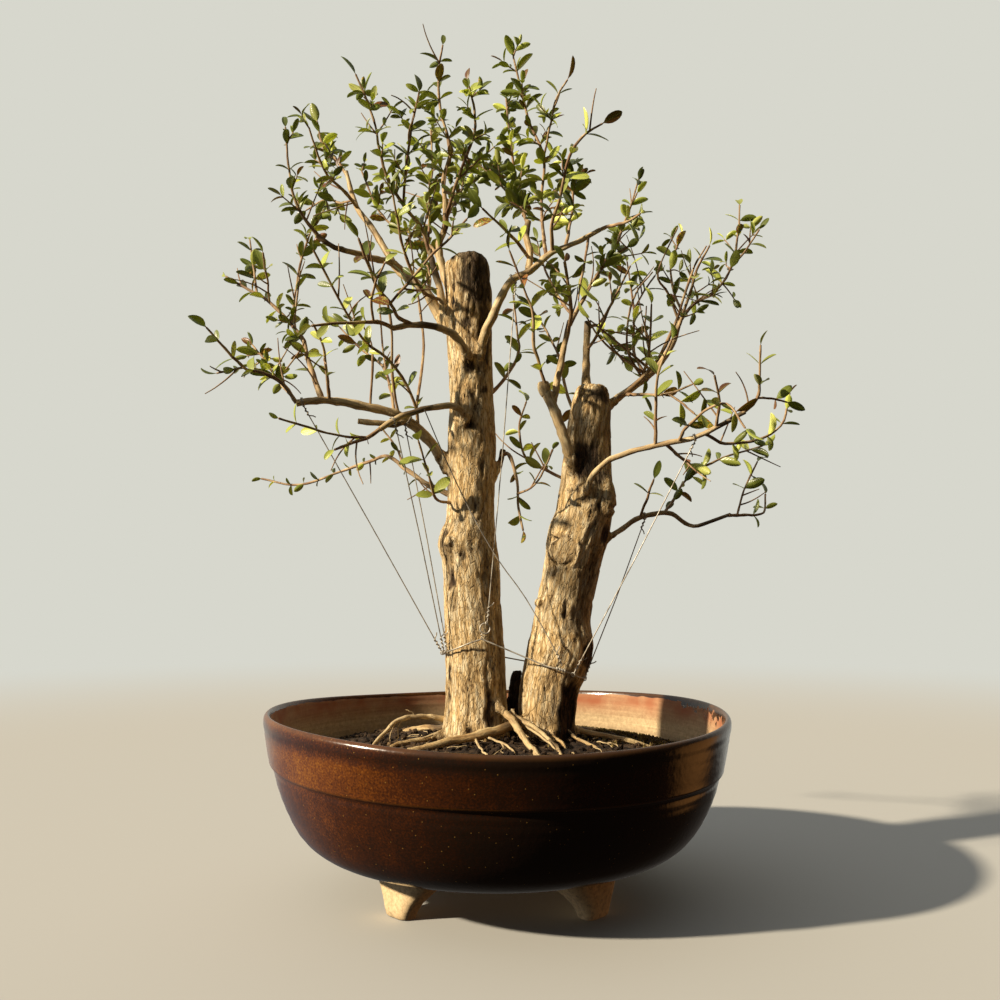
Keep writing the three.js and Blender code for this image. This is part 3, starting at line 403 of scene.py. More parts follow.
# %% [markdown]
# ## The bowl
# The pot is stoneware thrown on a wheel, so its shape is one outline turned round an axis. A
# maker in Blender draws half the section and spins it. The lip is round and stands out a
# little, and a ridge runs round the outside where the potter pressed the wall. No thrown bowl
# is exact: the fire bends the lip a few millimetres up and down, and the wall wanders a little.

# %% The bowl's outline and spin
POT_RADIUS = 198
LIP_HEIGHT = 147
RIDGE_HEIGHT = 105
RIDGE_RISE = (4, 5.3, 139)  # mm that the ridge lies higher, mm more to one side, and its angle
RIDGE_FLARE = 0.22  # the wall leans out by this much for each millimetre up
LIP_RISE = 1  # mm that the fire lifted the whole lip
LIP_SWAY = (3.6, 17)  # mm up near both ends of a line across, and the line's angle
LIP_LEAN = (1.2, 153)  # mm up towards one side, and its angle
INSIDE_BOX = 0.4  # mm that the wall is drawn in, so that its wander stays in the solid's box
THROWING_RINGS = (0.14, 8)  # mm deep, and mm from one to the next
RIDGE_FOOT = (58, 99)  # heights between which the ridge's lift sets in
RIDGE_END = (109, 143)  # and between which it dies away
SPIN_STEPS = 176
DRAIN_RADIUS = 13

# Half the section as [radius, height], from the drain hole out, up and in again.
BOWL_OUTSIDE = [
    [84, 28], [104.5, 30], [137, 36], [156.4, 45], [169.2, 58], [178.4, 74], [184.2, 88], [186.8, 97],
    [188, 102.6], [190.6, 105.4], [191.8, 109], [194.8, 124], [196.9, 135.5], [POT_RADIUS, 141.2],
    [197.7, 144], [196.3, 146.2], [194.6, LIP_HEIGHT], [192.9, 145.8], [191.8, 142], [190.6, 136],
    [189.5, 128], [186, 106], [172.5, 76], [143, 50], [90, 40],
]
# The middle of the wall's thickness, as [height, radius], parts its inside from its outside.
WALL_MIDDLE = [
    [34, 100], [45, 136], [50, 151], [58, 160], [76, 175.6], [90, 181.6], [106, 188.3], [128, 192.4],
    [143, 195], [LIP_HEIGHT, 195.4],
]

outline = smooth_route(BOWL_OUTSIDE, 4).tolist()
drain_low, drain_high = [DRAIN_RADIUS, outline[0][1]], [DRAIN_RADIUS, outline[-1][1]]
bowl = spun("bowl", [drain_low, *outline, drain_high, drain_low], SPIN_STEPS)

points = points_of(bowl)
around = np.arctan2(points[:, 1], points[:, 0])
height = points[:, 2] / MM
middle = np.interp(height, *np.transpose(WALL_MIDDLE))
inner = (np.hypot(points[:, 0], points[:, 1]) / MM < middle) & (height > WALL_MIDDLE[0][0])
mark(bowl, "inner_wall", inner)
mark(bowl, "thrown_height", points[:, 2])
share = np.clip((height - RIDGE_HEIGHT) / (RIDGE_END[1] - RIDGE_HEIGHT), 0, 1) ** 2
wander = 0.35 * np.sin(2 * around + 0.7) + 0.25 * np.sin(3 * around + 2)
rings = THROWING_RINGS[0] * np.sin(height * math.tau / THROWING_RINGS[1])
lift = RIDGE_RISE[0] + RIDGE_RISE[1] * np.cos(around - math.radians(RIDGE_RISE[2]))
lift *= np.clip(np.minimum(
    (height - RIDGE_FOOT[0]) / (RIDGE_FOOT[1] - RIDGE_FOOT[0]),
    (RIDGE_END[1] - height) / (RIDGE_END[1] - RIDGE_END[0])), 0, 1) * ~inner
outward = wander * smoothstep(40, 90, height) + rings - INSIDE_BOX + RIDGE_FLARE * lift
points[:, :2] *= (1 + outward / POT_RADIUS)[:, None]
warp = LIP_RISE + LIP_SWAY[0] * np.cos(2 * (around - math.radians(LIP_SWAY[1])))
warp += LIP_LEAN[0] * np.cos(around - math.radians(LIP_LEAN[1])) + 0.3 * np.sin(5 * around)
points[:, 2] += (warp * share + lift) * MM
set_points(bowl, points)
print("bowl:", len(bowl.data.polygons), "faces")

# %% [markdown]
# ## The feet
# Four bracket feet of bare clay carry the bowl. Each was pressed on as a soft block and pared
# with a knife, so it is broad where it meets the bowl and runs down and outwards to a small
# sole. It starts as a disc for the sole; its face is extruded up and scaled, level by level.

# %% One foot, copied to its four places
FOOT_ANGLES = [45, 135, 225, 315]
# Levels of a foot: [height, distance from the pot's axis, half depth, half width].
FOOT = [
    [0, 106, 6.4, 11], [1.2, 106, 7.6, 12.6], [6, 105.8, 8.8, 14.2], [12, 104, 10.4, 17.4],
    [18, 101, 13, 22], [24, 97, 16.6, 27], [30, 94, 19.6, 30.5], [36, 92, 21, 32],
]
SOLE_SIDES = 36
SQUARENESS = 0.36  # 0 is a plain oval section, 1 nearly a box
OVAL_SHARE = 1.6  # a foot's width for its depth
PARED = 0.7  # mm that the knife's facets rise and fall, in lumps as wide as this:
PARED_LUMP = 13

start_afresh()
bpy.ops.mesh.primitive_circle_add(
    vertices=SOLE_SIDES, radius=MM, fill_type="NGON", location=(FOOT[0][1] * MM, 0, 0))
foot = bpy.context.object
bpy.ops.object.transform_apply(location=True, rotation=True, scale=True)
bpy.ops.object.mode_set(mode="EDIT")
bpy.ops.mesh.select_all(action="SELECT")
bpy.ops.transform.resize(
    value=(FOOT[0][2], FOOT[0][3], 1), center_override=(FOOT[0][1] * MM, 0, 0))
for (low, near, depth, width), (high, far, next_depth, next_width) in zip(FOOT, FOOT[1:]):
    move = ((far - near) * MM, 0, (high - low) * MM)
    bpy.ops.mesh.extrude_region_move(TRANSFORM_OT_translate={"value": move})
    bpy.ops.transform.resize(
        value=(next_depth / depth, next_width / width, 1),
        center_override=(far * MM, 0, high * MM))
bpy.ops.mesh.select_all(action="SELECT")
bpy.ops.mesh.normals_make_consistent(inside=False)
bpy.ops.object.mode_set(mode="OBJECT")

points = points_of(foot)
level = points[:, 2] / MM
distance = np.interp(level, [row[0] for row in FOOT], [row[1] for row in FOOT]) * MM
turn = np.arctan2(points[:, 1], (points[:, 0] - distance) * OVAL_SHARE)
square = 1 + SQUARENESS * 0.5 * np.sin(2 * turn) ** 2
points[:, 0] = distance + (points[:, 0] - distance) * square
points[:, 1] *= square
pared = grain(points, PARED_LUMP, 4.0) * PARED * MM
points += points_of(foot, "normal") * (pared * smoothstep(0.5, 8, level))[:, None]
set_points(foot, points)
mark(foot, "foot_clay", np.ones(len(points)))

feet = []
for angle in FOOT_ANGLES:
    copy = bpy.data.objects.new("foot", foot.data.copy())
    copy.data.transform(Matrix.Rotation(math.radians(angle), 4, "Z"))
    bpy.context.collection.objects.link(copy)
    feet.append(copy)
bpy.data.objects.remove(foot)
take(bowl)
for copy in feet:
    copy.select_set(True)
bpy.ops.object.join()
bowl.name = "bowl_on_feet"
print("feet at", FOOT_ANGLES, "degrees")

# %% [markdown]
# ## Glaze on stoneware
# The glaze is a tenmoku: an iron glaze that fires almost black where it is thick and breaks
# to amber where it runs thin, over the lip and above the ridge. It was poured, so it has a
# wandering edge inside the lip; below that edge the clay is bare, pinkish buff, with a rust
# flash next to the glaze. The glaze's colour is also painted lighter and more amber on the lit
# left side and darker on the shaded right: painted light. One material paints both glaze and
# clay: it works out from the place on the bowl whether glaze or clay is there. Fired glaze is
# glass: IOR 1.5, roughness near 0.15, with the faint dimples of an orange skin; bare clay is matt.

# %% The pot's material
GLAZE_EDGE = 143.6  # mm over the table before the lip was warped, inside it

pottery, tree, shader = new_material("tenmoku_glaze_on_stoneware")
place = add_node(tree, "TexCoord").outputs["Object"]
axes = add_node(tree, "SeparateXYZ", {"Vector": place}).outputs
level = add_node(tree, "Attribute", attribute_name="thrown_height").outputs["Fac"]

# Where the glaze ends: a slow wander, and ragged chips at the right end of the bowl.
slow = add_node(tree, "TexNoise", {"Vector": place, "Scale": per_mm(24), "Detail": 3})
ragged = add_node(tree, "TexNoise", {"Vector": place, "Scale": per_mm(9), "Detail": 3})
chips = add_node(
    tree, "MapRange", {"Value": axes["X"], "From Min": 0.165, "From Max": 0.186, "To Max": 0.034})
torn = add_node(tree, "Math", {0: ragged, 1: 0.38}, operation="SUBTRACT")
torn = add_node(tree, "Math", {0: torn, 1: chips}, operation="MULTIPLY")
edge = add_node(tree, "Math", {0: slow, 1: 0.005, 2: level}, operation="MULTIPLY_ADD")
edge = add_node(tree, "Math", {0: edge, 1: torn}, operation="ADD")
EDGE_LEVEL = (GLAZE_EDGE + 2.5) * MM
below = add_node(
    tree, "MapRange", {"Value": edge, "From Min": EDGE_LEVEL + 0.0003,
                       "From Max": EDGE_LEVEL - 0.0003})
inside = add_node(tree, "Attribute", attribute_name="inner_wall").outputs["Fac"]
bare_inside = add_node(tree, "Math", {0: below, 1: inside}, operation="MULTIPLY")
underside = add_node(tree, "MapRange", {"Value": axes["Z"], "From Min": 0.0306, "From Max": 0.0300})
foot_clay = add_node(tree, "Attribute", attribute_name="foot_clay").outputs["Fac"]
bare = add_node(tree, "Math", {0: bare_inside, 1: underside}, operation="MAXIMUM")
bare = add_node(tree, "Math", {0: bare, 1: foot_clay}, operation="MAXIMUM")

# The glaze: slow clouds, runs that hang down, and flecks of about a millimetre.
clouds = add_node(
    tree, "TexNoise", {"Vector": place, "Scale": per_mm(34), "Detail": 4, "Roughness": 0.55})
runs = stretched_noise(tree, place, (9, 9, 60), Roughness=0.5)
flecks = add_node(
    tree, "TexNoise", {"Vector": place, "Scale": per_mm(1.5), "Detail": 1, "Roughness": 0.6})
# Under the ridge it ran thicker, and above it thinner, but not just below the lip.
share = add_node(tree, "MapRange", {"Value": level, "From Min": 0.03, "From Max": 0.15})
thick = add_node(tree, "ValToRGB", {"Fac": share}, stops=[
    (0.0, "#686868"), (0.3, "#7a7a7a"), (0.59, "#808080"), (0.64, "#9c9c9c"), (0.82, "#9c9c9c"),
    (0.9, "#5c5c5c"), (0.94, "#7a7a7a")])
# Painted light: the glaze is drawn more amber on the lit left side and darker on the right.
painted_lit_left = add_node(
    tree, "MapRange", {"Value": axes["X"], "From Min": -0.15, "From Max": 0.035,
                       "To Min": 0.1, "To Max": -0.16}, interpolation_type="SMOOTHSTEP")
body = painted_lit_left
for part, amount in ((thick, 0.8), (runs, 0.12), (clouds, 0.22), (flecks, 0.34)):
    body = add_node(tree, "Math", {0: part, 1: amount, 2: body}, operation="MULTIPLY_ADD")
amber = add_node(tree, "ValToRGB", {"Fac": body}, stops=[
    (0.34, "#20160f"), (0.46, "#2b170c"), (0.58, "#42200a"), (0.7, "#6a390e"), (0.84, "#9a641c")])
# Iron crystals show as sparse bright specks.
specks = add_node(tree, "TexVoronoi", {"Vector": place, "Scale": per_mm(5.5)})
speck = add_node(
    tree, "MapRange", {"Value": specks, "From Min": 0.1, "From Max": 0.06, "To Max": 0.55})
amber = add_node(tree, "MixRGB", {"Fac": speck, "Color1": amber, "Color2": linear("#a8803c")})
lip = add_node(
    tree, "MapRange", {"Value": level, "From Min": 0.1425, "From Max": 0.1455, "To Max": 0.5})
ridge = add_node(
    tree, "Math", {0: level, 1: RIDGE_HEIGHT * MM + 0.0006, 2: 0.0008}, operation="COMPARE")
thin = add_node(tree, "Math", {0: ridge, 1: 0.35, 2: lip}, operation="MULTIPLY_ADD", use_clamp=True)
thin = add_node(tree, "Math", {0: thin, 1: clouds}, operation="MULTIPLY")
glaze_colour = add_node(tree, "MixRGB", {"Fac": thin, "Color1": amber, "Color2": linear("#86561c")})

# The clay: buff with fine grog, a rust flash under the glaze and damp stains over the soil.
grog = add_node(
    tree, "TexNoise", {"Vector": place, "Scale": per_mm(3), "Detail": 6, "Roughness": 0.7})
lines = stretched_noise(tree, place, (90, 90, 1.8), Detail=3, Roughness=0.5)
lining = add_node(tree, "Math", {0: inside, 1: 0.4}, operation="MULTIPLY")
lined = add_node(tree, "Mix", {0: lining, 2: grog, 3: lines}, data_type="FLOAT")
lined = add_node(tree, "Math", {0: foot_clay, 1: 0.14, 2: lined}, operation="MULTIPLY_ADD")
buff = add_node(tree, "ValToRGB", {"Fac": lined}, stops=[
    (0.32, "#9c805a"), (0.5, "#bba178"), (0.66, "#dcbe8e"), (0.78, "#e8cb9c")])
rise = add_node(tree, "MapRange", {"Value": level, "From Min": 0.122, "From Max": 0.137})
flash = add_node(tree, "Math", {0: rise, 1: slow}, operation="MULTIPLY")
flash = add_node(tree, "Math", {0: flash, 1: 1.5}, operation="MULTIPLY", use_clamp=True)
inner = add_node(tree, "Math", {0: flash, 1: inside}, operation="MULTIPLY")
flashed = add_node(tree, "MixRGB", {"Fac": inner, "Color1": buff, "Color2": linear("#9c5a36")})
damp = add_node(tree, "MapRange", {"Value": axes["Z"], "From Min": 0.117, "From Max": 0.109})
for part in (clouds, inside):
    damp = add_node(tree, "Math", {0: damp, 1: part}, operation="MULTIPLY")
clay_colour = add_node(
    tree, "MixRGB", {"Fac": damp, "Color1": flashed, "Color2": linear("#5d4a30")})

colour = add_node(tree, "MixRGB", {"Fac": bare, "Color1": glaze_colour, "Color2": clay_colour})
skin = add_node(tree, "MapRange", {"Value": flecks, "To Min": 0.1, "To Max": 0.24})
lip_skin = add_node(tree, "Math", {0: lip, 1: 0.12, 2: skin}, operation="MULTIPLY_ADD")
roughness = add_node(tree, "Mix", {0: bare, 2: lip_skin, 3: 0.85}, data_type="FLOAT")
dimples = add_node(tree, "TexNoise", {"Vector": place, "Scale": per_mm(5), "Detail": 1})
relief = add_node(tree, "Mix", {0: bare, 2: dimples, 3: grog}, data_type="FLOAT")
bump = add_node(tree, "Bump", {"Strength": 0.35, "Distance": 0.0004, "Height": relief})
set_inputs(shader, {"Base Color": colour, "Roughness": roughness, "Normal": bump, "IOR": 1.5})

finish_piece(bowl, ["pot"], pottery)

# %% [markdown]
# ## Soil
# The tree stands in a mound of granular clay soil, dark and damp, with moss at the right. The
# mound is spun like the bowl, then its top is roughened. On it lie loose crumbs: one crumb is
# modelled and copied some two thousand times with a random size, turn and place. A random
# generator with a fixed seed makes the same soil each time.

# %% The mound
SOIL_MIDDLE = 128
SOIL_EDGE = 109
SOIL_RADIUS = 184.7
SOIL_UNDER = [[184.4, 106.2], [171, 76.7], [141.5, 50.9], [89, 40.6], [0, 40.6]]
SOIL_RINGS = 84
SOIL_STEPS = 250


def soil_height(x, y):
    """The mound's mean height in mm at a place in mm."""
    return SOIL_MIDDLE - (SOIL_MIDDLE - SOIL_EDGE) * (x * x + y * y) / SOIL_RADIUS**2


radii = np.linspace(0, SOIL_RADIUS - 0.2, SOIL_RINGS)
top = [[radius, soil_height(radius, 0)] for radius in radii]
mound = spun("soil_mound", [*top, *SOIL_UNDER], SOIL_STEPS)
points = points_of(mound)
reach = np.hypot(points[:, 0], points[:, 1]) / MM
on_top = (points[:, 2] / MM > soil_height(reach, 0) - 1) & (reach < SOIL_RADIUS)
lumps = 1.7 * grain(points, 38) + 1.3 * grain(points, 9, 3.1) + 0.9 * grain(points, 3.6, 7.7)
points[:, 2] += np.where(on_top, lumps - 0.6, 0) * MM
set_points(mound, points)
print("mound:", len(mound.data.polygons), "faces")

# %% Crumbs and moss
STREWN = 180  # crumbs and moss lie within this of the middle, mm
CRUMBS = 2100
CRUMB_SIZE = (1.1, 3.4)  # half width, mm
TUFTS = 3200
MOSS_MIDDLE = (104, 84)
MOSS_REACH = (80, 66)
TUFT_HEIGHT = (1.4, 4.2)
TRUNK_FEET = (43, -18)  # mm to the right, where the trunks leave the soil
FREE_OF_TRUNK = 26  # no tuft grows closer than this to the middle of a trunk


def stamp(name, shape, places):
    """One mesh made of a small shape copied to each place (a matrix)."""
    rows = np.hstack([points_of(shape), np.ones((len(shape.data.vertices), 1))])
    faces = [list(face.vertices) for face in shape.data.polygons]
    moved = np.vstack([(rows @ np.array(place).T)[:, :3] for place in places])
    all_faces = [
        [corner + i * len(rows) for corner in face] for i in range(len(places)) for face in faces]
    bpy.data.objects.remove(shape)
    return add_mesh(name, moved.tolist(), [], all_faces)


draw = random.Random(71)
start_afresh()
bpy.ops.mesh.primitive_ico_sphere_add(subdivisions=1, radius=1)
crumb = bpy.context.object
bpy.ops.object.mode_set(mode="EDIT")
bpy.ops.transform.vertex_random(offset=0.22, seed=5)
bpy.ops.object.mode_set(mode="OBJECT")
places = []
while len(places) < CRUMBS:
    x, y = draw.uniform(-STREWN, STREWN), draw.uniform(-STREWN, STREWN)
    if math.hypot(x, y) > STREWN:
        continue
    size = draw.uniform(*CRUMB_SIZE) ** 1.3 / 1.4
    turn = Matrix.Rotation(draw.uniform(0, math.tau), 4, random_way(draw, 1))
    scale = Matrix.Diagonal((size * MM, size * draw.uniform(0.7, 1) * MM, size * 0.7 * MM, 1))
    place = Vector((x, y, soil_height(x, y) + 0.25 * size - 0.5)) * MM
    places.append(Matrix.Translation(place) @ turn @ scale)
crumbs = stamp("crumbs", crumb, places)

# A tuft is a disc whose rim stands up as five leaves round a middle one.
start_afresh()
bpy.ops.mesh.primitive_cone_add(vertices=5, radius1=0.42, radius2=0, depth=1, location=(0, 0, 0.5))
tuft = bpy.context.object
bpy.ops.object.transform_apply(location=True, rotation=True, scale=True)
bpy.ops.object.mode_set(mode="EDIT")
select_where(tuft, lambda middle, normal: normal.z > -0.5, faces=True)
bpy.ops.mesh.poke(offset=-0.12)
bpy.ops.object.mode_set(mode="OBJECT")
places = []
while len(places) < TUFTS:
    x = draw.gauss(MOSS_MIDDLE[0], MOSS_REACH[0] * 0.45)
    y = draw.gauss(MOSS_MIDDLE[1], MOSS_REACH[1] * 0.5)
    patch = noise.noise(Vector((x / 30, y / 30, 2.0)))
    if math.hypot(x, y) > STREWN or patch < draw.uniform(-0.5, 0.2):
        continue
    if any(math.hypot(x - foot, y) < FREE_OF_TRUNK for foot in TRUNK_FEET):
        continue
    height = draw.uniform(*TUFT_HEIGHT)
    lean = Matrix.Rotation(draw.uniform(-0.5, 0.5), 4, "X") @ Matrix.Rotation(
        draw.uniform(0, math.tau), 4, "Z")
    scale = Matrix.Diagonal((height * 1.1 * MM, height * 1.1 * MM, height * MM, 1))
    place = Vector((x, y, soil_height(x, y) - 0.6)) * MM
    places.append(Matrix.Translation(place) @ lean @ scale)
tufts = stamp("moss_tufts", tuft, places)
print(CRUMBS, "crumbs and", TUFTS, "tufts of moss")

# %% [markdown]
# ## Soil and moss finishes
# Fired clay soil is a matt, porous brown that darkens when damp. Each crumb has its own shade,
# which a noise larger than a crumb gives. Moss is a dull ochre green in dry sun, and its cells
# scatter light softly, so it has no gloss.

# %% The soil's materials
earth, tree, shader = new_material("granular_clay_soil")
place = add_node(tree, "TexCoord").outputs["Object"]
shade = add_node(
    tree, "TexNoise", {"Vector": place, "Scale": per_mm(5), "Detail": 5, "Roughness": 0.65})
moist = add_node(tree, "TexNoise", {"Vector": place, "Scale": per_mm(45), "Detail": 2})
both = add_node(tree, "Math", {0: moist, 1: 0.5, 2: shade}, operation="MULTIPLY_ADD")
brown = add_node(tree, "ValToRGB", {"Fac": both}, stops=[
    (0.5, "#130d08"), (0.7, "#2b2016"), (0.86, "#4d3b28"), (1.0, "#7d6546")])
pores = add_node(
    tree, "TexNoise", {"Vector": place, "Scale": per_mm(1.2), "Detail": 4, "Roughness": 0.7})
bump = add_node(tree, "Bump", {"Strength": 0.8, "Distance": 0.0006, "Height": pores})
set_inputs(
    shader, {"Base Color": brown, "Normal": bump, "Roughness": 0.95, "Specular IOR Level": 0.25})

moss, tree, shader = new_material("cushion_moss")
place = add_node(tree, "TexCoord").outputs["Object"]
shade = add_node(
    tree, "TexNoise", {"Vector": place, "Scale": per_mm(8), "Detail": 4, "Roughness": 0.6})
green = add_node(tree, "ValToRGB", {"Fac": shade}, stops=[
    (0.3, "#2b2313"), (0.5, "#665631"), (0.68, "#9b8754")])
set_inputs(shader, {"Base Color": green, "Roughness": 1, "Specular IOR Level": 0.1})

for piece, material in ((mound, earth), (crumbs, earth), (tufts, moss)):
    finish_piece(piece, ["soil"], material, angle=35)

# %% [markdown]
# ## The tree's skeleton
# Wood has no drawing: what describes a tree is where its middle lines run and how thick they
# are. Each trunk is a list of level sections, and each limb a list of places with a radius at
# either end. The solid model is built on the same lines, so the finer wood made here keeps
# to it.

# %% Trunks, scars, limbs and roots
# A trunk: [height, x, y, radius] for each section.
LEFT_TRUNK = [
    [64, -12, 0, 18], [100, -16, 0, 27], [122, -18.5, 0, 30], [158, -18.2, 0, 26.5],
    [198, -19.6, 0, 25.5], [244, -22.3, 0, 25.4], [281, -24.4, 0, 24.6], [292, -26.2, 0, 25.6],
    [303, -25, 0, 23.6], [315, -23.8, 0, 21.6], [350, -23.4, 0, 21.2], [386, -22.6, 0, 21.3],
    [421, -23.2, 0, 20], [470, -24.8, 1, 20.6], [514, -26.2, 2, 21.1], [535, -27.3, 3, 21.4],
    [545, -26.6, 3, 20], [549, -26.8, 4, 15], [551, -26.8, 4, 10],
]
RIGHT_TRUNK = [
    [64, 20, 0, 18], [98, 36, 0, 24], [120, 43, 0, 24.5], [138, 43.8, 0, 23.6], [152, 43.6, 0, 25.2],
    [172, 46.2, 0, 25.6], [186, 50.3, 0, 27.2], [205, 55.2, 0, 28.6], [226, 56, 0, 25.2],
    [243, 58.7, 0, 24.9], [279, 65.9, 0, 24.2], [299, 70.6, 0, 26.4], [317, 76, 0, 25.1],
    [337, 78.1, 0, 24.4], [366, 79.2, 0, 21.4], [414, 82.7, 0, 18.2], [429, 84.1, 0, 15.2],
    [434, 84.6, 0, 12.8],
]
SCARS = {
    "dead_stub": [8.6, 3.4, [13, 13, 96], [15, 14, 146], [16.5, 14, 170], [17.8, 13, 183]],
    "bulge_low": [8, 10, [84, -8, 306], [94, -13, 326]],
    "bulge_high": [10, 6, [94, -13, 326], [94, -13, 342], [89, -10, 356]],
    "oval_scar": [13, 12, [57, -10, 286], [56.5, -24.6, 287]],
    "right_stub": [8.5, 7, [86, -8, 336], [102, -11, 341]],
    "left_burl": [6, 3.6, [44, -8, 240], [33.5, -14, 243]],
    "low_knot": [7, 5, [-30, -14, 290], [-45, -21, 296]],
}
LIMBS = {
    "low_left": [5.4, 3.6, [-37, 0, 355], [-51, -4, 372], [-64, -10, 388], [-80, -18, 401],
        [-95, -24, 407], [-130, -34, 413], [-151, -39, 414], [-170, -43, 411]],
    "low_left_stub": [3, 2.2, [-80, -18, 401], [-88, -24, 396], [-105, -30, 396], [-119, -34, 397]],
    "front_low": [3.2, 2.2, [-26, -12, 391], [-29, -26, 404], [-39, -34, 410], [-61, -48, 405],
        [-81, -60, 396], [-96, -68, 385]],
    "front_high": [3.6, 2.3, [-24, -10, 445], [-28, -27, 460], [-39, -38, 472], [-53, -50, 475],
        [-71, -60, 474], [-86, -68, 469]],
    "rise_left": [5.3, 2, [-41, 2, 485], [-54, 4, 502], [-63, 8, 520], [-75, 12, 532], [-89, 16, 542],
        [-101, 22, 561], [-117, 30, 589], [-133, 38, 613], [-145, 48, 651]],
    "reach_left": [3.5, 2, [-87, 15, 543], [-97, 6, 549], [-112, -4, 549], [-131, -14, 552],
        [-145, -22, 554], [-158, -28, 562]],
    "rise_mid": [4.2, 2.4, [-37, -2, 480], [-46, -6, 494], [-50, -8, 514], [-57, -6, 540],
        [-61, -4, 557]],
    "rise_dark": [4.4, 2.6, [-29, 10, 495], [-39, 16, 512], [-46, 20, 532], [-52, 22, 554],
        [-54, 22, 571], [-48, 20, 589], [-48, 16, 611]],
    "arch_right": [4.2, 1.8, [-17, -12, 455], [-12, -24, 472], [-4, -30, 490], [11, -36, 518],
        [28, -40, 526], [45, -44, 540], [66, -50, 547], [87, -56, 557]],
    "arch_stub": [3.3, 2.6, [27, -40, 527], [28, -36, 544], [25, -30, 561], [27, -26, 575]],
    "low_right": [2.8, 1.8, [75, -16, 331], [78, -29, 344], [85, -36, 355], [99, -42, 365],
        [132, -50, 374], [160, -56, 379], [180, -60, 387], [204, -64, 400]],
    "reach_right": [2.6, 1.6, [90, 0, 295], [101, 4, 301], [127, 12, 317], [154, 20, 322],
        [178, 28, 311], [214, 38, 322]],
    "side_stub": [3, 2.4, [-10, 2, 345], [1, 6, 363], [5, 8, 378]],
    "cut_left": [5, 4.2, [72, -8, 351], [63, -20, 367], [56, -24, 389], [49, -25, 408],
        [43, -25, 422], [40, -25, 431]],
    "cut_left_up": [3.1, 2.3, [47, -25, 410], [52, -20, 434], [59, -12, 468], [64, -8, 491]],
    "cut_mid": [3.6, 3, [81, 4, 404], [80, 6, 426], [80, 10, 460], [82, 14, 496]],
    "fan_right": [4, 2.2, [88, 4, 410], [103, 10, 421], [126, 20, 439], [145, 28, 455],
        [163, 38, 481], [172, 46, 508]],
}
ROOTS = [
    [2.7, [-30, -4, 8], [-50, -12, 2.5], [-76, -25, 1], [-86, -33, 0.5], [-97, -46, -5]],
    [4.2, [22, -14, 14], [10.7, -27, 12], [-10.4, -38, 7.5], [-35.2, -47, 4.5], [-59.3, -58, 2],
     [-75, -66, 0.5], [-92, -74, -6]],
    [3.5, [-6, -10, 36], [-0.4, -18, 28], [11.6, -28, 18.5], [19, -39, 9], [25.4, -53, 2],
     [31.9, -74, -1], [34, -82, -6]],
    [2.1, [12, -16, 22], [16.8, -23, 18.5], [27.7, -31, 13.8], [40, -42, 6.8], [47.7, -53, 2],
     [50.4, -72, -0.5], [52, -80, -5]],
    [1.8, [46, -12, 10], [46, -30, 5], [53, -42, 3], [57, -56, -4]],
    [1.6, [56, -6, 10], [66, -20, 4], [79, -36, 1], [95, -52, -4]],
    [3.4, [-30, 12, 8], [-52, 40, 3], [-78, 66, 1.5], [-104, 84, -5]],
    [3.2, [52, 12, 8], [76, 40, 3], [92, 72, 1.5], [100, 100, -5]],
    [2.6, [-4, 10, 10], [6, 40, 3], [-8, 72, 1.5], [-6, 104, -4]],
    [2.6, [62, 2, 8], [96, 6, 3], [124, 2, 1], [146, 8, -4]],
]

# %% [markdown]
# ## Old wood
# The trunks are one mass of wood that thickened over decades, with swollen collars where limbs
# and roots leave it. The quickest true way to model that is additive: round bars for trunks,
# scars and collars, melted into one skin with a voxel remesh and smoothed. Then the skin is
# pushed in and out along its normals: slow swellings, long flaky ridges, and cracks where a
# stretched noise crosses zero. Marked places get hollows, burnt wood or bare wood.
# Some near-black marks are painted shade, wholly or in part: under limb feet, between the trunks and
# down the trunks' shaded right sides.

# %% One skin over trunks, scars and collars
BURIED = 100  # wood lower than this is under the soil
VOXEL = 1.36  # mm
COLLAR_GROWTH = [1.75, 1.4, 1.12, 0.8]  # swelling of a limb at steps out from the trunk
COLLAR_STEPS = [0.0, 0.35, 0.7, 1.0]  # as shares of the collar's length
COLLAR_LENGTH = 15


def run_lengths(points):
    steps = np.linalg.norm(np.diff(np.asarray(points, float)[:, :3], axis=0), axis=1)
    return np.concatenate([[0], np.cumsum(steps)])


def points_along(points, distances):
    """Places so far along a route of points."""
    rows = np.asarray(points, float)
    runs = run_lengths(rows)
    return np.column_stack([np.interp(distances, runs, rows[:, i]) for i in range(3)])


def bar_of(entry, steps=5):
    """The route and radii of a [base radius, tip radius, points…] entry."""
    base, tip, *points = entry
    route = smooth_route(points, steps)
    return route, np.interp(np.arange(len(route)), [0, len(route) - 1], [base, tip])


def root_entry(root):
    radius, *points = root
    return [radius, radius * 0.6, *[[x, y, soil_height(x, y) + lift] for x, y, lift in points]]


def trunk_at(trunk, heights):
    """A trunk's middle and radius at one height or more: x, y and radius."""
    levels, *columns = np.transpose(trunk)
    return [np.interp(heights, levels, column) for column in columns]


def out_of_trunk(point):
    """How far a place (mm) is outside the nearer trunk, or over its top."""
    outside = []
    for trunk in (LEFT_TRUNK, RIGHT_TRUNK):
        x, _, radius = trunk_at(trunk, point[2])
        outside.append(max(math.hypot(point[0] - x, point[1]) - radius, point[2] - trunk[-1][0]))
    return min(outside)


def collar(entry):
    """The swelling round the foot of a limb or root, from where it leaves the trunk."""
    route, radii = bar_of(entry, 12)
    outside = [out_of_trunk(point) > -1 for point in route]
    start = run_lengths(route)[outside.index(True)]
    reach = start - 5 + (COLLAR_LENGTH + 5) * np.array(COLLAR_STEPS)
    return points_along(route, reach), radii[0] * np.array(COLLAR_GROWTH)


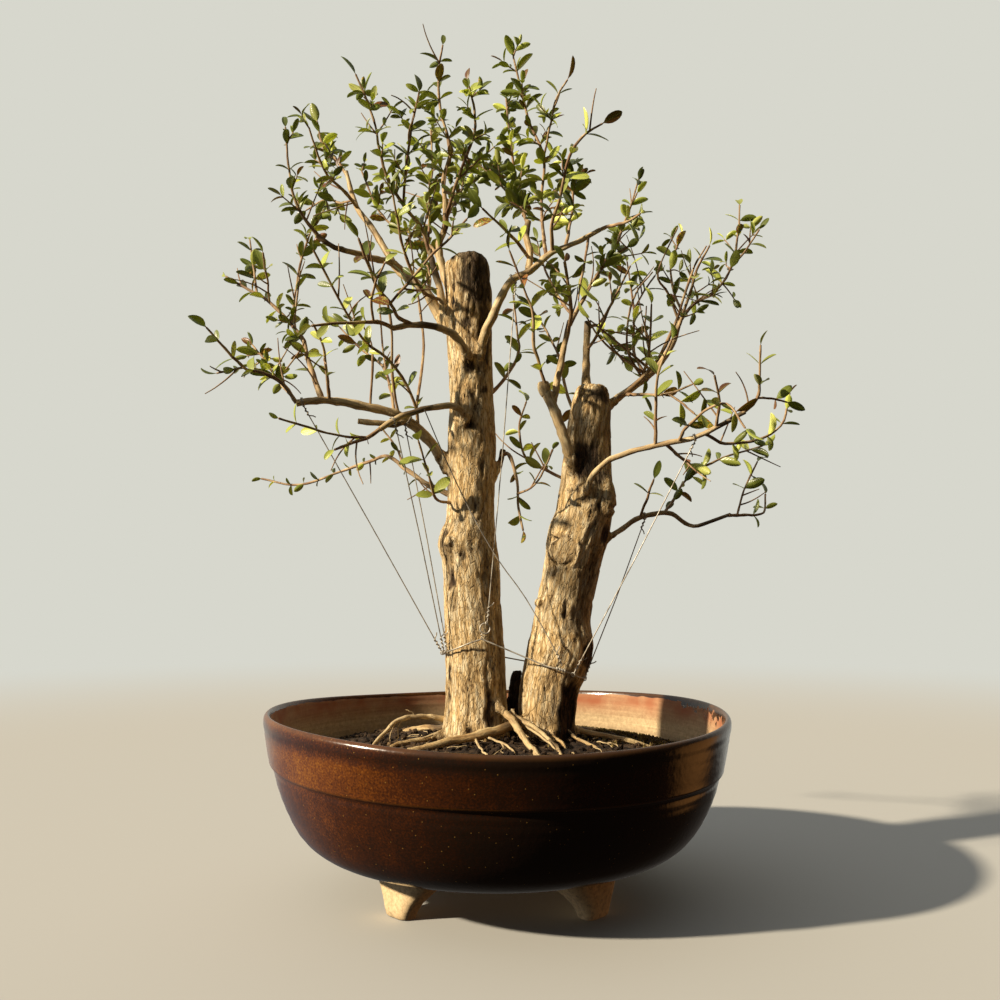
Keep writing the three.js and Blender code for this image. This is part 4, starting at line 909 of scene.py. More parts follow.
bars = []
for trunk in (LEFT_TRUNK, RIGHT_TRUNK):
    rows = smooth_route([[x, y, z, radius] for z, x, y, radius in trunk if z >= BURIED - 2], 6)
    bars.append((rows[:, :3], rows[:, 3]))
bars += [bar_of(entry) for entry in SCARS.values()]
on_trunk = [entry for entry in LIMBS.values() if out_of_trunk(entry[2]) < 0]
bars += [collar(entry) for entry in on_trunk]
bars += [collar(root_entry(root)) for root in ROOTS]
trunks = round_bars("trunk_wood", bars, 6)
apply_modifier(trunks, "REMESH", mode="VOXEL", voxel_size=VOXEL * MM)
apply_modifier(trunks, "SMOOTH", factor=0.5, iterations=5)
print("trunk skin:", len(trunks.data.polygons), "faces")

# %% Swellings, ridges, cracks and marks
# A mark: [x, y, z, half width, half height, depth, near-black share, bare share], sizes in mm.
# Near black is burnt wood, and also painted shade, wholly or in part: under the feet of
# front_high and front_low, where reach_right leaves the trunk, between the trunks and down the
# shaded right sides of both trunks.
MARKS = [
    [-28, -20, 487, 5, 4, 2.4, 0.8, 0], [-16, -14, 527, 16, 25, 0.7, 0.9, 0],
    [-24, -4, 551, 20, 8, 0, 0.8, 0], [-26, -19, 524, 3.6, 15, 0.4, 0, 0.8],
    [-34, -17, 527, 4.2, 16, 0, 0, 1], [-39.5, -14, 521, 1.4, 20, 2, 1, 0],
    [-10, -14, 482, 8, 32, 0.6, 0.95, 0], [-26, -22, 447, 5, 4, 1.8, 0.9, 0],
    [-25, -21, 396, 4.5, 4, 1.8, 0.9, 0], [-11.7, -17, 427, 3, 3.4, 1.2, 0.8, 0],
    [-12.4, -18, 359, 2.4, 5, 1.4, 0.6, 0], [-49, -15, 299, 6, 11, 0.6, 0.75, 0],
    [-44, -18, 285, 7, 9, 0.8, 0.45, 0], [-41, -19, 262, 4, 7, 2.4, 0.95, 0],
    [-29.6, -24, 283, 3, 4, 2, 0.6, 0], [-11, -22, 265, 2.5, 4, 1, 0.5, 0],
    [-23, -28, 134, 2.8, 3.4, 2.4, 0.9, 0], [-33, -28, 125, 2.6, 3, 1.6, 0.6, 0],
    [-43, -12, 172, 2.4, 24, 1.4, 0.9, 0], [-7, -24, 150, 2.6, 26, 3, 0.85, 0],
    [3, -12, 196, 6, 46, 0.4, 0.55, 0], [77, -18, 366, 12, 17, 1.6, 0.95, 0],
    [85, -19, 351, 9, 6, 1, 0.85, 0], [90, -13, 422, 8, 7, 0.5, 0.85, 0],
    [95, -10, 400, 6, 18, 0.3, 0.35, 0], [63, -24, 339, 6, 1.8, 2.2, 0.8, 0],
    [76, -25, 330, 3.4, 2.6, 1.4, 0.6, 0], [88, -24, 332, 1.4, 16, 2, 0.9, 0],
    [97, -14, 301, 8, 9, 2.2, 1, 0], [85, -18, 282, 4, 13, 0.6, 0.5, 0],
    [72, -20, 250, 8, 26, 0.5, 0.4, 0], [58, -24, 236, 2.6, 8, 3.4, 0.95, 0],
    [67, -24, 226, 7, 13, 0.6, 0.4, 0], [80, -14, 194, 7, 15, 0.8, 0.95, 0],
    [62, -19, 148, 13, 30, 1.3, 1, 0], [61, -18, 124, 15, 18, 0.4, 0.95, 0],
    [-50, 8, 287, 5, 8, 1.5, 0.5, 0], [-30, 22, 330, 6, 6, 3, 0.8, 0],
    [-18, 24, 452, 5, 7, 2.4, 0.8, 0], [70, 24, 262, 7, 11, 2.6, 0.7, 0.2],
    [50, 26, 176, 4, 18, 2.5, 0.7, 0],
]
STUB = [15, 13, 183]  # the dead stub's middle and top
STUB_REACH = 10.5
OVAL = [57, -22, 287, 13, 15]  # middle of the pruning scar, half width, half height
BULGE = [96, -14, 332]  # middle of the swelling at the right
FLUTED = (128, 190)  # heights between which the flutes of the trunks' feet die away


def grainwise_of(points):
    """Places measured from the middle of the nearer trunk, with height kept, so that a pattern
    drawn in them follows the trunk."""
    found = []
    for trunk in (LEFT_TRUNK, RIGHT_TRUNK):
        x, y, radius = trunk_at(trunk, points[:, 2] / MM)
        local = points / MM - np.column_stack([x, y, np.zeros(len(points))])
        found.append((local, np.hypot(local[:, 0], local[:, 1]) / radius))
    (left, left_share), (right, right_share) = found
    return np.where((right_share < left_share)[:, None], right, left) * MM


points = points_of(trunks)
normals = points_of(trunks, "normal")
local = grainwise_of(points)
place = points / MM
swell = 1.2 * grain(local, (20, 20, 42), 1.3)
ridges = 0.6 * grain(local, (5.2, 5.2, 24), 4.1) + 0.55 * grain(local, (2.8, 2.8, 11), 8.2)
wander = grain(local, (9, 9, 14), 6.6)[:, None] * np.array([1.6, 1.6, 0]) * MM
thin_line = np.abs(grain(local + wander, (6.5, 6.5, 30), 11.9))
cracks = 1 - smoothstep(0.0, 0.1, thin_line)
cracks *= smoothstep(-0.15, 0.3, grain(local, (16, 16, 40), 3.3))
# The marks' outlines are ragged, because their distances are measured from shifted places.
ragged = place + 3.2 * np.column_stack([grain(points, (5, 5, 9), seed) for seed in (21.5, 32.5, 43.5)])
# Near black for burnt wood, and painted shade where a mark stands in for shadow.
burnt_and_shade = np.zeros(len(points))
bare = np.zeros(len(points))
hollow = np.zeros(len(points))
for x, y, z, half_width, half_height, depth, burn_and_shade, strip in MARKS:
    far = (np.hypot(ragged[:, 0] - x, ragged[:, 1] - y) / half_width) ** 2
    far += ((ragged[:, 2] - z) / half_height) ** 2
    amount = np.exp(-far * (0.75 + 0.6 * ridges))
    hollow += depth * amount
    burnt_and_shade = np.maximum(burnt_and_shade, burn_and_shade * smoothstep(0.2, 0.62, amount))
    bare = np.maximum(bare, strip * smoothstep(0.25, 0.7, amount))
near_stub = np.hypot(place[:, 0] - STUB[0], place[:, 1] - STUB[1]) < STUB_REACH
burnt_and_shade = np.maximum(burnt_and_shade, 0.95 * (near_stub & (place[:, 2] < STUB[2] + 4)))

x, y, z, half_width, half_height = OVAL
uneven_place = (place + ragged) / 2
ring = np.hypot((uneven_place[:, 0] - x) / half_width, (uneven_place[:, 2] - z) / half_height)
on_face = (place[:, 1] < y + 12) & (place[:, 0] < 80)
rim = np.where(on_face, np.exp(-((ring - 0.98) / 0.13) ** 2), 0)
within = np.where(on_face, 1 - smoothstep(0.75, 0.95, ring), 0)
groove = np.where(on_face, np.exp(-((ring - 0.8) / 0.06) ** 2), 0)
bare = np.maximum(bare, 0.4 * within * smoothstep(-0.4, 0.3, ridges))
burnt_and_shade = np.maximum(burnt_and_shade, 0.4 * within * smoothstep(0.1, -0.4, ridges))
cracks = np.maximum(cracks * (1 - 0.6 * within), 0.8 * groove)

flutes = np.cos(7 * np.arctan2(local[:, 1], local[:, 0]) + 0.012 * place[:, 2] + swell)
relief = swell + ridges - 1.0 * cracks - hollow + 1.2 * rim - 0.5 * within
relief += 1.1 * flutes * (1 - smoothstep(*FLUTED, place[:, 2]))
relief += near_stub * 1.6 * grain(points, 5, 9.9)
# The swelling is smooth: its bark closed over a wound.
from_bulge = np.hypot(place[:, 0] - BULGE[0], place[:, 1] - BULGE[1]) / 13
relief *= 1 - 0.75 * np.exp(-from_bulge**4 - ((place[:, 2] - BULGE[2]) / 24) ** 4)
points += normals * (np.clip(relief, -5.5, 3.2) * MM)[:, None]
set_points(trunks, points)
# The cracks are dark, and the marks' hollows are darkened with them: painted shade.
mark(trunks, "crack_and_hollow_shade", np.clip(cracks + 0.35 * hollow, 0, 1))
mark(trunks, "burnt_and_shade", burnt_and_shade)
mark(trunks, "bare", bare)
mark(trunks, "grainwise", local)
print("cracked share:", round(float(np.mean(cracks > 0.5)), 2))

# %% [markdown]
# ## Limbs and surface roots
# A limb is a round bar on a soft route that tapers and swells a little at each old joint. The
# same goes for the roots that lie on the soil. They are curves with a bevel, turned to mesh.

# %% Limbs and roots
def knobbly(route, radii, seed, amount=0.1, spacing=17):
    """Radii with slow swellings and a small knuckle at each old joint."""
    runs = run_lengths(route)
    slow = np.array([noise.noise(Vector((run / 21, seed, 0.5))) for run in runs])
    knuckle = np.exp(-(((runs / spacing + seed * 0.37) % 1 - 0.5) / 0.12) ** 2)
    return radii * (1 + amount * slow + amount * knuckle)


def uneven(route, seed, amount):
    """The route with its points moved a little, but not its ends."""
    shift = np.array([[noise.noise(Vector((i / 3, seed, k * 7.7))) for k in range(3)]
                      for i in range(len(route))])
    ends = np.minimum(np.arange(len(route)), np.arange(len(route))[::-1])
    return route + amount * shift * smoothstep(0, 4, ends)[:, None]


def grain_of_bars(bars, sides):
    """For each vertex of some round bars, its place round and along its bar, and the radius."""
    turns = np.arange(sides) / sides * math.tau
    rows = [np.column_stack([radius * np.cos(turns), radius * np.sin(turns), np.full(sides, run)])
            for route, radii in bars for run, radius in zip(run_lengths(route), radii)]
    radii = np.concatenate([radii for _, radii in bars])
    return np.vstack(rows), np.repeat(radii, sides)


def wood_piece(name, bars, resolution):
    """A piece of round wood that keeps, for the bark material, its grain, its thickness and how
    near it is to the foot, where its bark is drawn darker."""
    piece = round_bars(name, bars, resolution)
    sides = 2 * (resolution + 2)
    rows, thickness = grain_of_bars(bars, sides)
    outside = [out_of_trunk(point) for route, _ in bars for point in route]
    assert len(piece.data.vertices) == len(rows), (name, len(piece.data.vertices))
    mark(piece, "grainwise", rows * MM)
    mark(piece, "thickness", thickness)
    mark(piece, "foot", np.repeat(1 - smoothstep(0, 9, outside), sides))
    return piece


LIMB_STEPS = 7  # points of a limb's or root's route from one of its places to the next

limb_bars = {}
for i, (name, entry) in enumerate(LIMBS.items()):
    route, radii = bar_of(entry, LIMB_STEPS)
    if name == "low_left":
        # It is thinner than in the solid model.
        radii = radii * np.linspace(0.92, 0.84, len(radii))
    limb_bars[name] = (uneven(route, i, 0.7), knobbly(route, radii, i, 0.13))
# The cut end of a limb healed to a thick knot.
limb_bars["knot"] = (
    smooth_route([[42.4, -25, 421], [41, -25, 425], [40, -25.2, 429], [39.4, -25.4, 433]], 4),
    np.interp(np.arange(13), [0, 3, 7, 11, 12], [4.4, 5.3, 5.8, 4.9, 3.6]))
limbs = wood_piece("limb_wood", limb_bars.values(), 5)

draw = random.Random(12)
bars = []
for i, root in enumerate(ROOTS):
    route, radii = bar_of(root_entry(root), LIMB_STEPS)
    bars.append((uneven(route, i + 40, 0.9), knobbly(route, radii, i, 0.2, 9)))
# Fine roots at the front and the left, as [base radius, tip radius, points…] over the table.
FINE_ROOTS = [
    [2.7, 1.2, [-40, 3, 139], [-52, -1, 143], [-63, -4, 144], [-77, -9, 144], [-86.7, -16, 141.5],
     [-93.6, -24, 135], [-101.9, -33, 126.5], [-106, -38, 119]],
    [0.6, 0.4, [-80, -11, 144], [-85, -17, 137], [-84, -20, 129], [-88, -22, 122]],
    [0.5, 0.4, [-84, -13, 143], [-88, -17, 138], [-91, -19, 130], [-90, -20, 122]],
    [0.5, 0.3, [-70, -7, 145], [-74, -9, 149], [-79, -9, 151]],
    [1.3, 0.8, [-41, -6, 135], [-54, -14, 131], [-68, -22, 126], [-76, -26, 121]],
    [1.1, 0.7, [-18, -42, 132], [-16, -52, 128.5], [-13, -62, 126.2], [-10, -74, 125],
     [-5, -82, 122]],
    [1.1, 0.7, [-10, -38, 132], [-1, -46, 130.6], [8, -56, 127.6], [12.7, -70, 126], [15, -80, 122]],
    [0.6, 0.4, [2, -48, 130], [5, -58, 127], [3, -68, 126], [8, -76, 123]],
    [1.5, 0.9, [14, -24, 143], [17, -34, 137], [24, -50, 129], [27, -58, 124]],
    [1.2, 0.8, [20, -24, 142], [30, -36, 136], [42, -50, 129.5], [48, -62, 124]],
]
bars += [(uneven(route, i + 60, 0.8), knobbly(route, radii, i, 0.12))
         for i, (route, radii) in enumerate(bar_of(entry, 6) for entry in FINE_ROOTS)]
# Rootlets: short pale strands that lie all round the trunks.
ROOTLETS = 26
for i in range(ROOTLETS):
    turn = draw.uniform(0, math.tau)
    x, y = 12 + draw.uniform(34, 100) * math.cos(turn), draw.uniform(30, 92) * math.sin(turn)
    heading = turn + draw.uniform(-0.9, 0.9)
    points = []
    lift = draw.uniform(0.2, 1.6)
    for step in range(5):
        points.append([x, y, soil_height(x, y) + (lift if 0 < step < 4 else -1.6)])
        heading += draw.uniform(-0.5, 0.5)
        x += draw.uniform(4, 8) * math.cos(heading)
        y += draw.uniform(4, 8) * math.sin(heading)
    width = draw.uniform(0.3, 0.7)
    bars.append(bar_of([width, width * 0.6, *points], 4))
roots = wood_piece("surface_roots", bars, 3)

# %% [markdown]
# ## Bark
# The bark of an old pomegranate is thin, tan and flaky: it splits into long plates a few
# millimetres wide, with dark brown cracks between them, and weathers grey in places. The
# pattern is drawn in the grain's own coordinates, so plates run along each trunk and limb.
# Cut wood and old burns are near black, and so is the painted shade of some marks and of the
# hollows; a strip of bare wood is cream. Young twigs are smooth and reddish, so the colour also
# follows thickness.

# %% The bark materials
old_bark, tree, shader = new_material("old_pomegranate_bark")
place = add_node(tree, "Attribute", attribute_name="grainwise").outputs["Vector"]
crack_and_hollow_shade, burnt_and_shade_share, bare_share = (
    add_node(tree, "Attribute", attribute_name=name).outputs["Fac"]
    for name in ("crack_and_hollow_shade", "burnt_and_shade", "bare"))
fibres = stretched_noise(tree, place, (1.3, 1.3, 7), Detail=5, Roughness=0.7)
plates = stretched_noise(tree, place, (3.4, 3.4, 14), Detail=3)
broad = stretched_noise(tree, place, (24, 24, 46), Detail=3)
lines = stretched_noise(tree, place, (4.4, 4.4, 30), Detail=3, Distortion=0.6)
bend = add_node(tree, "VectorMath", {0: (1.3, 1.3, 0), "Scale": plates}, operation="SCALE")
scaled = add_node(tree, "VectorMath", {0: place, 1: (per_mm(2.9), per_mm(2.9), per_mm(9.5))},
                  operation="MULTIPLY")
bent = add_node(tree, "VectorMath", {0: scaled, 1: bend}, operation="ADD")
cells = add_node(tree, "TexVoronoi", {"Vector": bent, "Scale": 1}, feature="DISTANCE_TO_EDGE")
splits = add_node(tree, "MapRange", {"Value": cells, "From Max": 0.11, "To Min": 1, "To Max": 0})
middle = add_node(tree, "Math", {0: lines, 1: 0.5}, operation="SUBTRACT")
middle = add_node(tree, "Math", {0: middle}, operation="ABSOLUTE")
grooves = add_node(tree, "MapRange", {"Value": middle, "From Max": 0.022, "To Min": 1, "To Max": 0})
worn = add_node(tree, "Math", {0: fibres, 1: 0.55, 2: plates}, operation="MULTIPLY_ADD")
tan = add_node(tree, "ValToRGB", {"Fac": worn}, stops=[
    (0.48, "#836743"), (0.63, "#b89661"), (0.78, "#dcbd88"), (0.94, "#f4e2b9")])
grey_share = add_node(
    tree, "MapRange", {"Value": broad, "From Min": 0.5, "From Max": 0.68, "To Max": 0.55})
weathered = add_node(
    tree, "MixRGB", {"Fac": grey_share, "Color1": tan, "Color2": linear("#8f7f63")})
dark = add_node(tree, "Math", {0: splits, 1: 0.3}, operation="MULTIPLY")
dark = add_node(tree, "Math", {0: grooves, 1: 0.55, 2: dark}, operation="MULTIPLY_ADD")
# The cracks darken the bark, and so do the marks' hollows: painted shade.
dark = add_node(tree, "Math", {0: crack_and_hollow_shade, 1: 0.6, 2: dark}, operation="MULTIPLY_ADD", use_clamp=True)
split = add_node(tree, "MixRGB", {"Fac": dark, "Color1": weathered, "Color2": linear("#4c351d")})
cream = add_node(tree, "ValToRGB", {"Fac": fibres}, stops=[(0.4, "#8d6b42"), (0.6, "#e3cda0")])
stripped = add_node(tree, "MixRGB", {"Fac": bare_share, "Color1": split, "Color2": cream})
# Near black: burnt wood, and painted shade at some marks.
soot_and_shade = add_node(tree, "ValToRGB", {"Fac": worn}, stops=[(0.7, "#110c08"), (0.98, "#59402a")])
colour = add_node(tree, "MixRGB", {"Fac": burnt_and_shade_share, "Color1": stripped, "Color2": soot_and_shade})
height = worn
for part, depth in ((splits, -0.4), (grooves, -0.5)):
    height = add_node(tree, "Math", {0: part, 1: depth, 2: height}, operation="MULTIPLY_ADD")
bump = add_node(tree, "Bump", {"Strength": 0.9, "Distance": 0.0012, "Height": height})
set_inputs(shader, {"Base Color": colour, "Normal": bump, "Roughness": 0.88,
                    "Specular IOR Level": 0.25})


def smooth_bark(name, thin, thick, old, bump_depth):
    """Bark of limbs and twigs: a hex colour for thin wood, thick wood and its weathering."""
    material, tree, shader = new_material(name)
    place = add_node(tree, "Attribute", attribute_name="grainwise").outputs["Vector"]
    thickness = add_node(tree, "Attribute", attribute_name="thickness").outputs["Fac"]
    streaks = stretched_noise(tree, place, (1.6, 1.6, 9), Detail=4)
    patches = stretched_noise(tree, place, (5, 5, 16), Detail=3)
    rings = stretched_noise(tree, place, (7, 7, 0.9), Detail=2)
    share = add_node(tree, "MapRange", {"Value": thickness, "From Min": 1.0, "From Max": 2.8})
    base = add_node(tree, "MixRGB", {"Fac": share, "Color1": linear(thin), "Color2": linear(thick)})
    wear = add_node(tree, "MapRange", {"Value": patches, "From Min": 0.42, "From Max": 0.66})
    worn = add_node(tree, "MixRGB", {"Fac": wear, "Color1": base, "Color2": linear(old)})
    shade = add_node(tree, "ValToRGB", {"Fac": streaks}, stops=[
        (0.36, "#8a7a6a"), (0.5, "#e2dcd4"), (0.64, "#ffffff")])
    streaked = add_node(
        tree, "MixRGB", {"Fac": 0.65, "Color1": worn, "Color2": shade}, blend_type="MULTIPLY")
    foot = add_node(tree, "Attribute", attribute_name="foot").outputs["Fac"]
    # Darker near the foot, where the limb leaves the trunk.
    dark = add_node(tree, "Math", {0: foot, 1: 0.8}, operation="MULTIPLY")
    streaked = add_node(
        tree, "MixRGB", {"Fac": dark, "Color1": streaked, "Color2": linear("#3b2a1a")})
    both = add_node(tree, "Math", {0: rings, 1: 0.5, 2: streaks}, operation="MULTIPLY_ADD")
    bump = add_node(tree, "Bump", {"Strength": 0.6, "Distance": bump_depth, "Height": both})
    set_inputs(shader, {"Base Color": streaked, "Normal": bump, "Roughness": 0.7,
                        "Specular IOR Level": 0.35})
    return material


limb_bark = smooth_bark("limb_bark", "#a68660", "#d0b381", "#ead6a8", 0.0007)
root_bark = smooth_bark("root_bark", "#cfb78a", "#b7945f", "#dcc592", 0.0018)
twig_bark = smooth_bark("twig_bark", "#957353", "#c6a678", "#dcc293", 0.0003)
for piece, material in ((trunks, old_bark), (limbs, limb_bark), (roots, root_bark)):
    finish_piece(piece, ["trunks"], material)

# %% [markdown]
# ## Leafy shoots
# Pomegranate leaves stand in opposite pairs, each pair a quarter turn from the last, with one
# leaf at the tip; they are oblong and blunt, 12 to 22 mm here, folded a little along the
# midrib and arched down. The shoots are again lists of places. The leaves' places come from a
# small random generator with a fixed seed for each shoot, the same one that set the solid
# model's leaves, so each solid leaf has a finer one in its place.

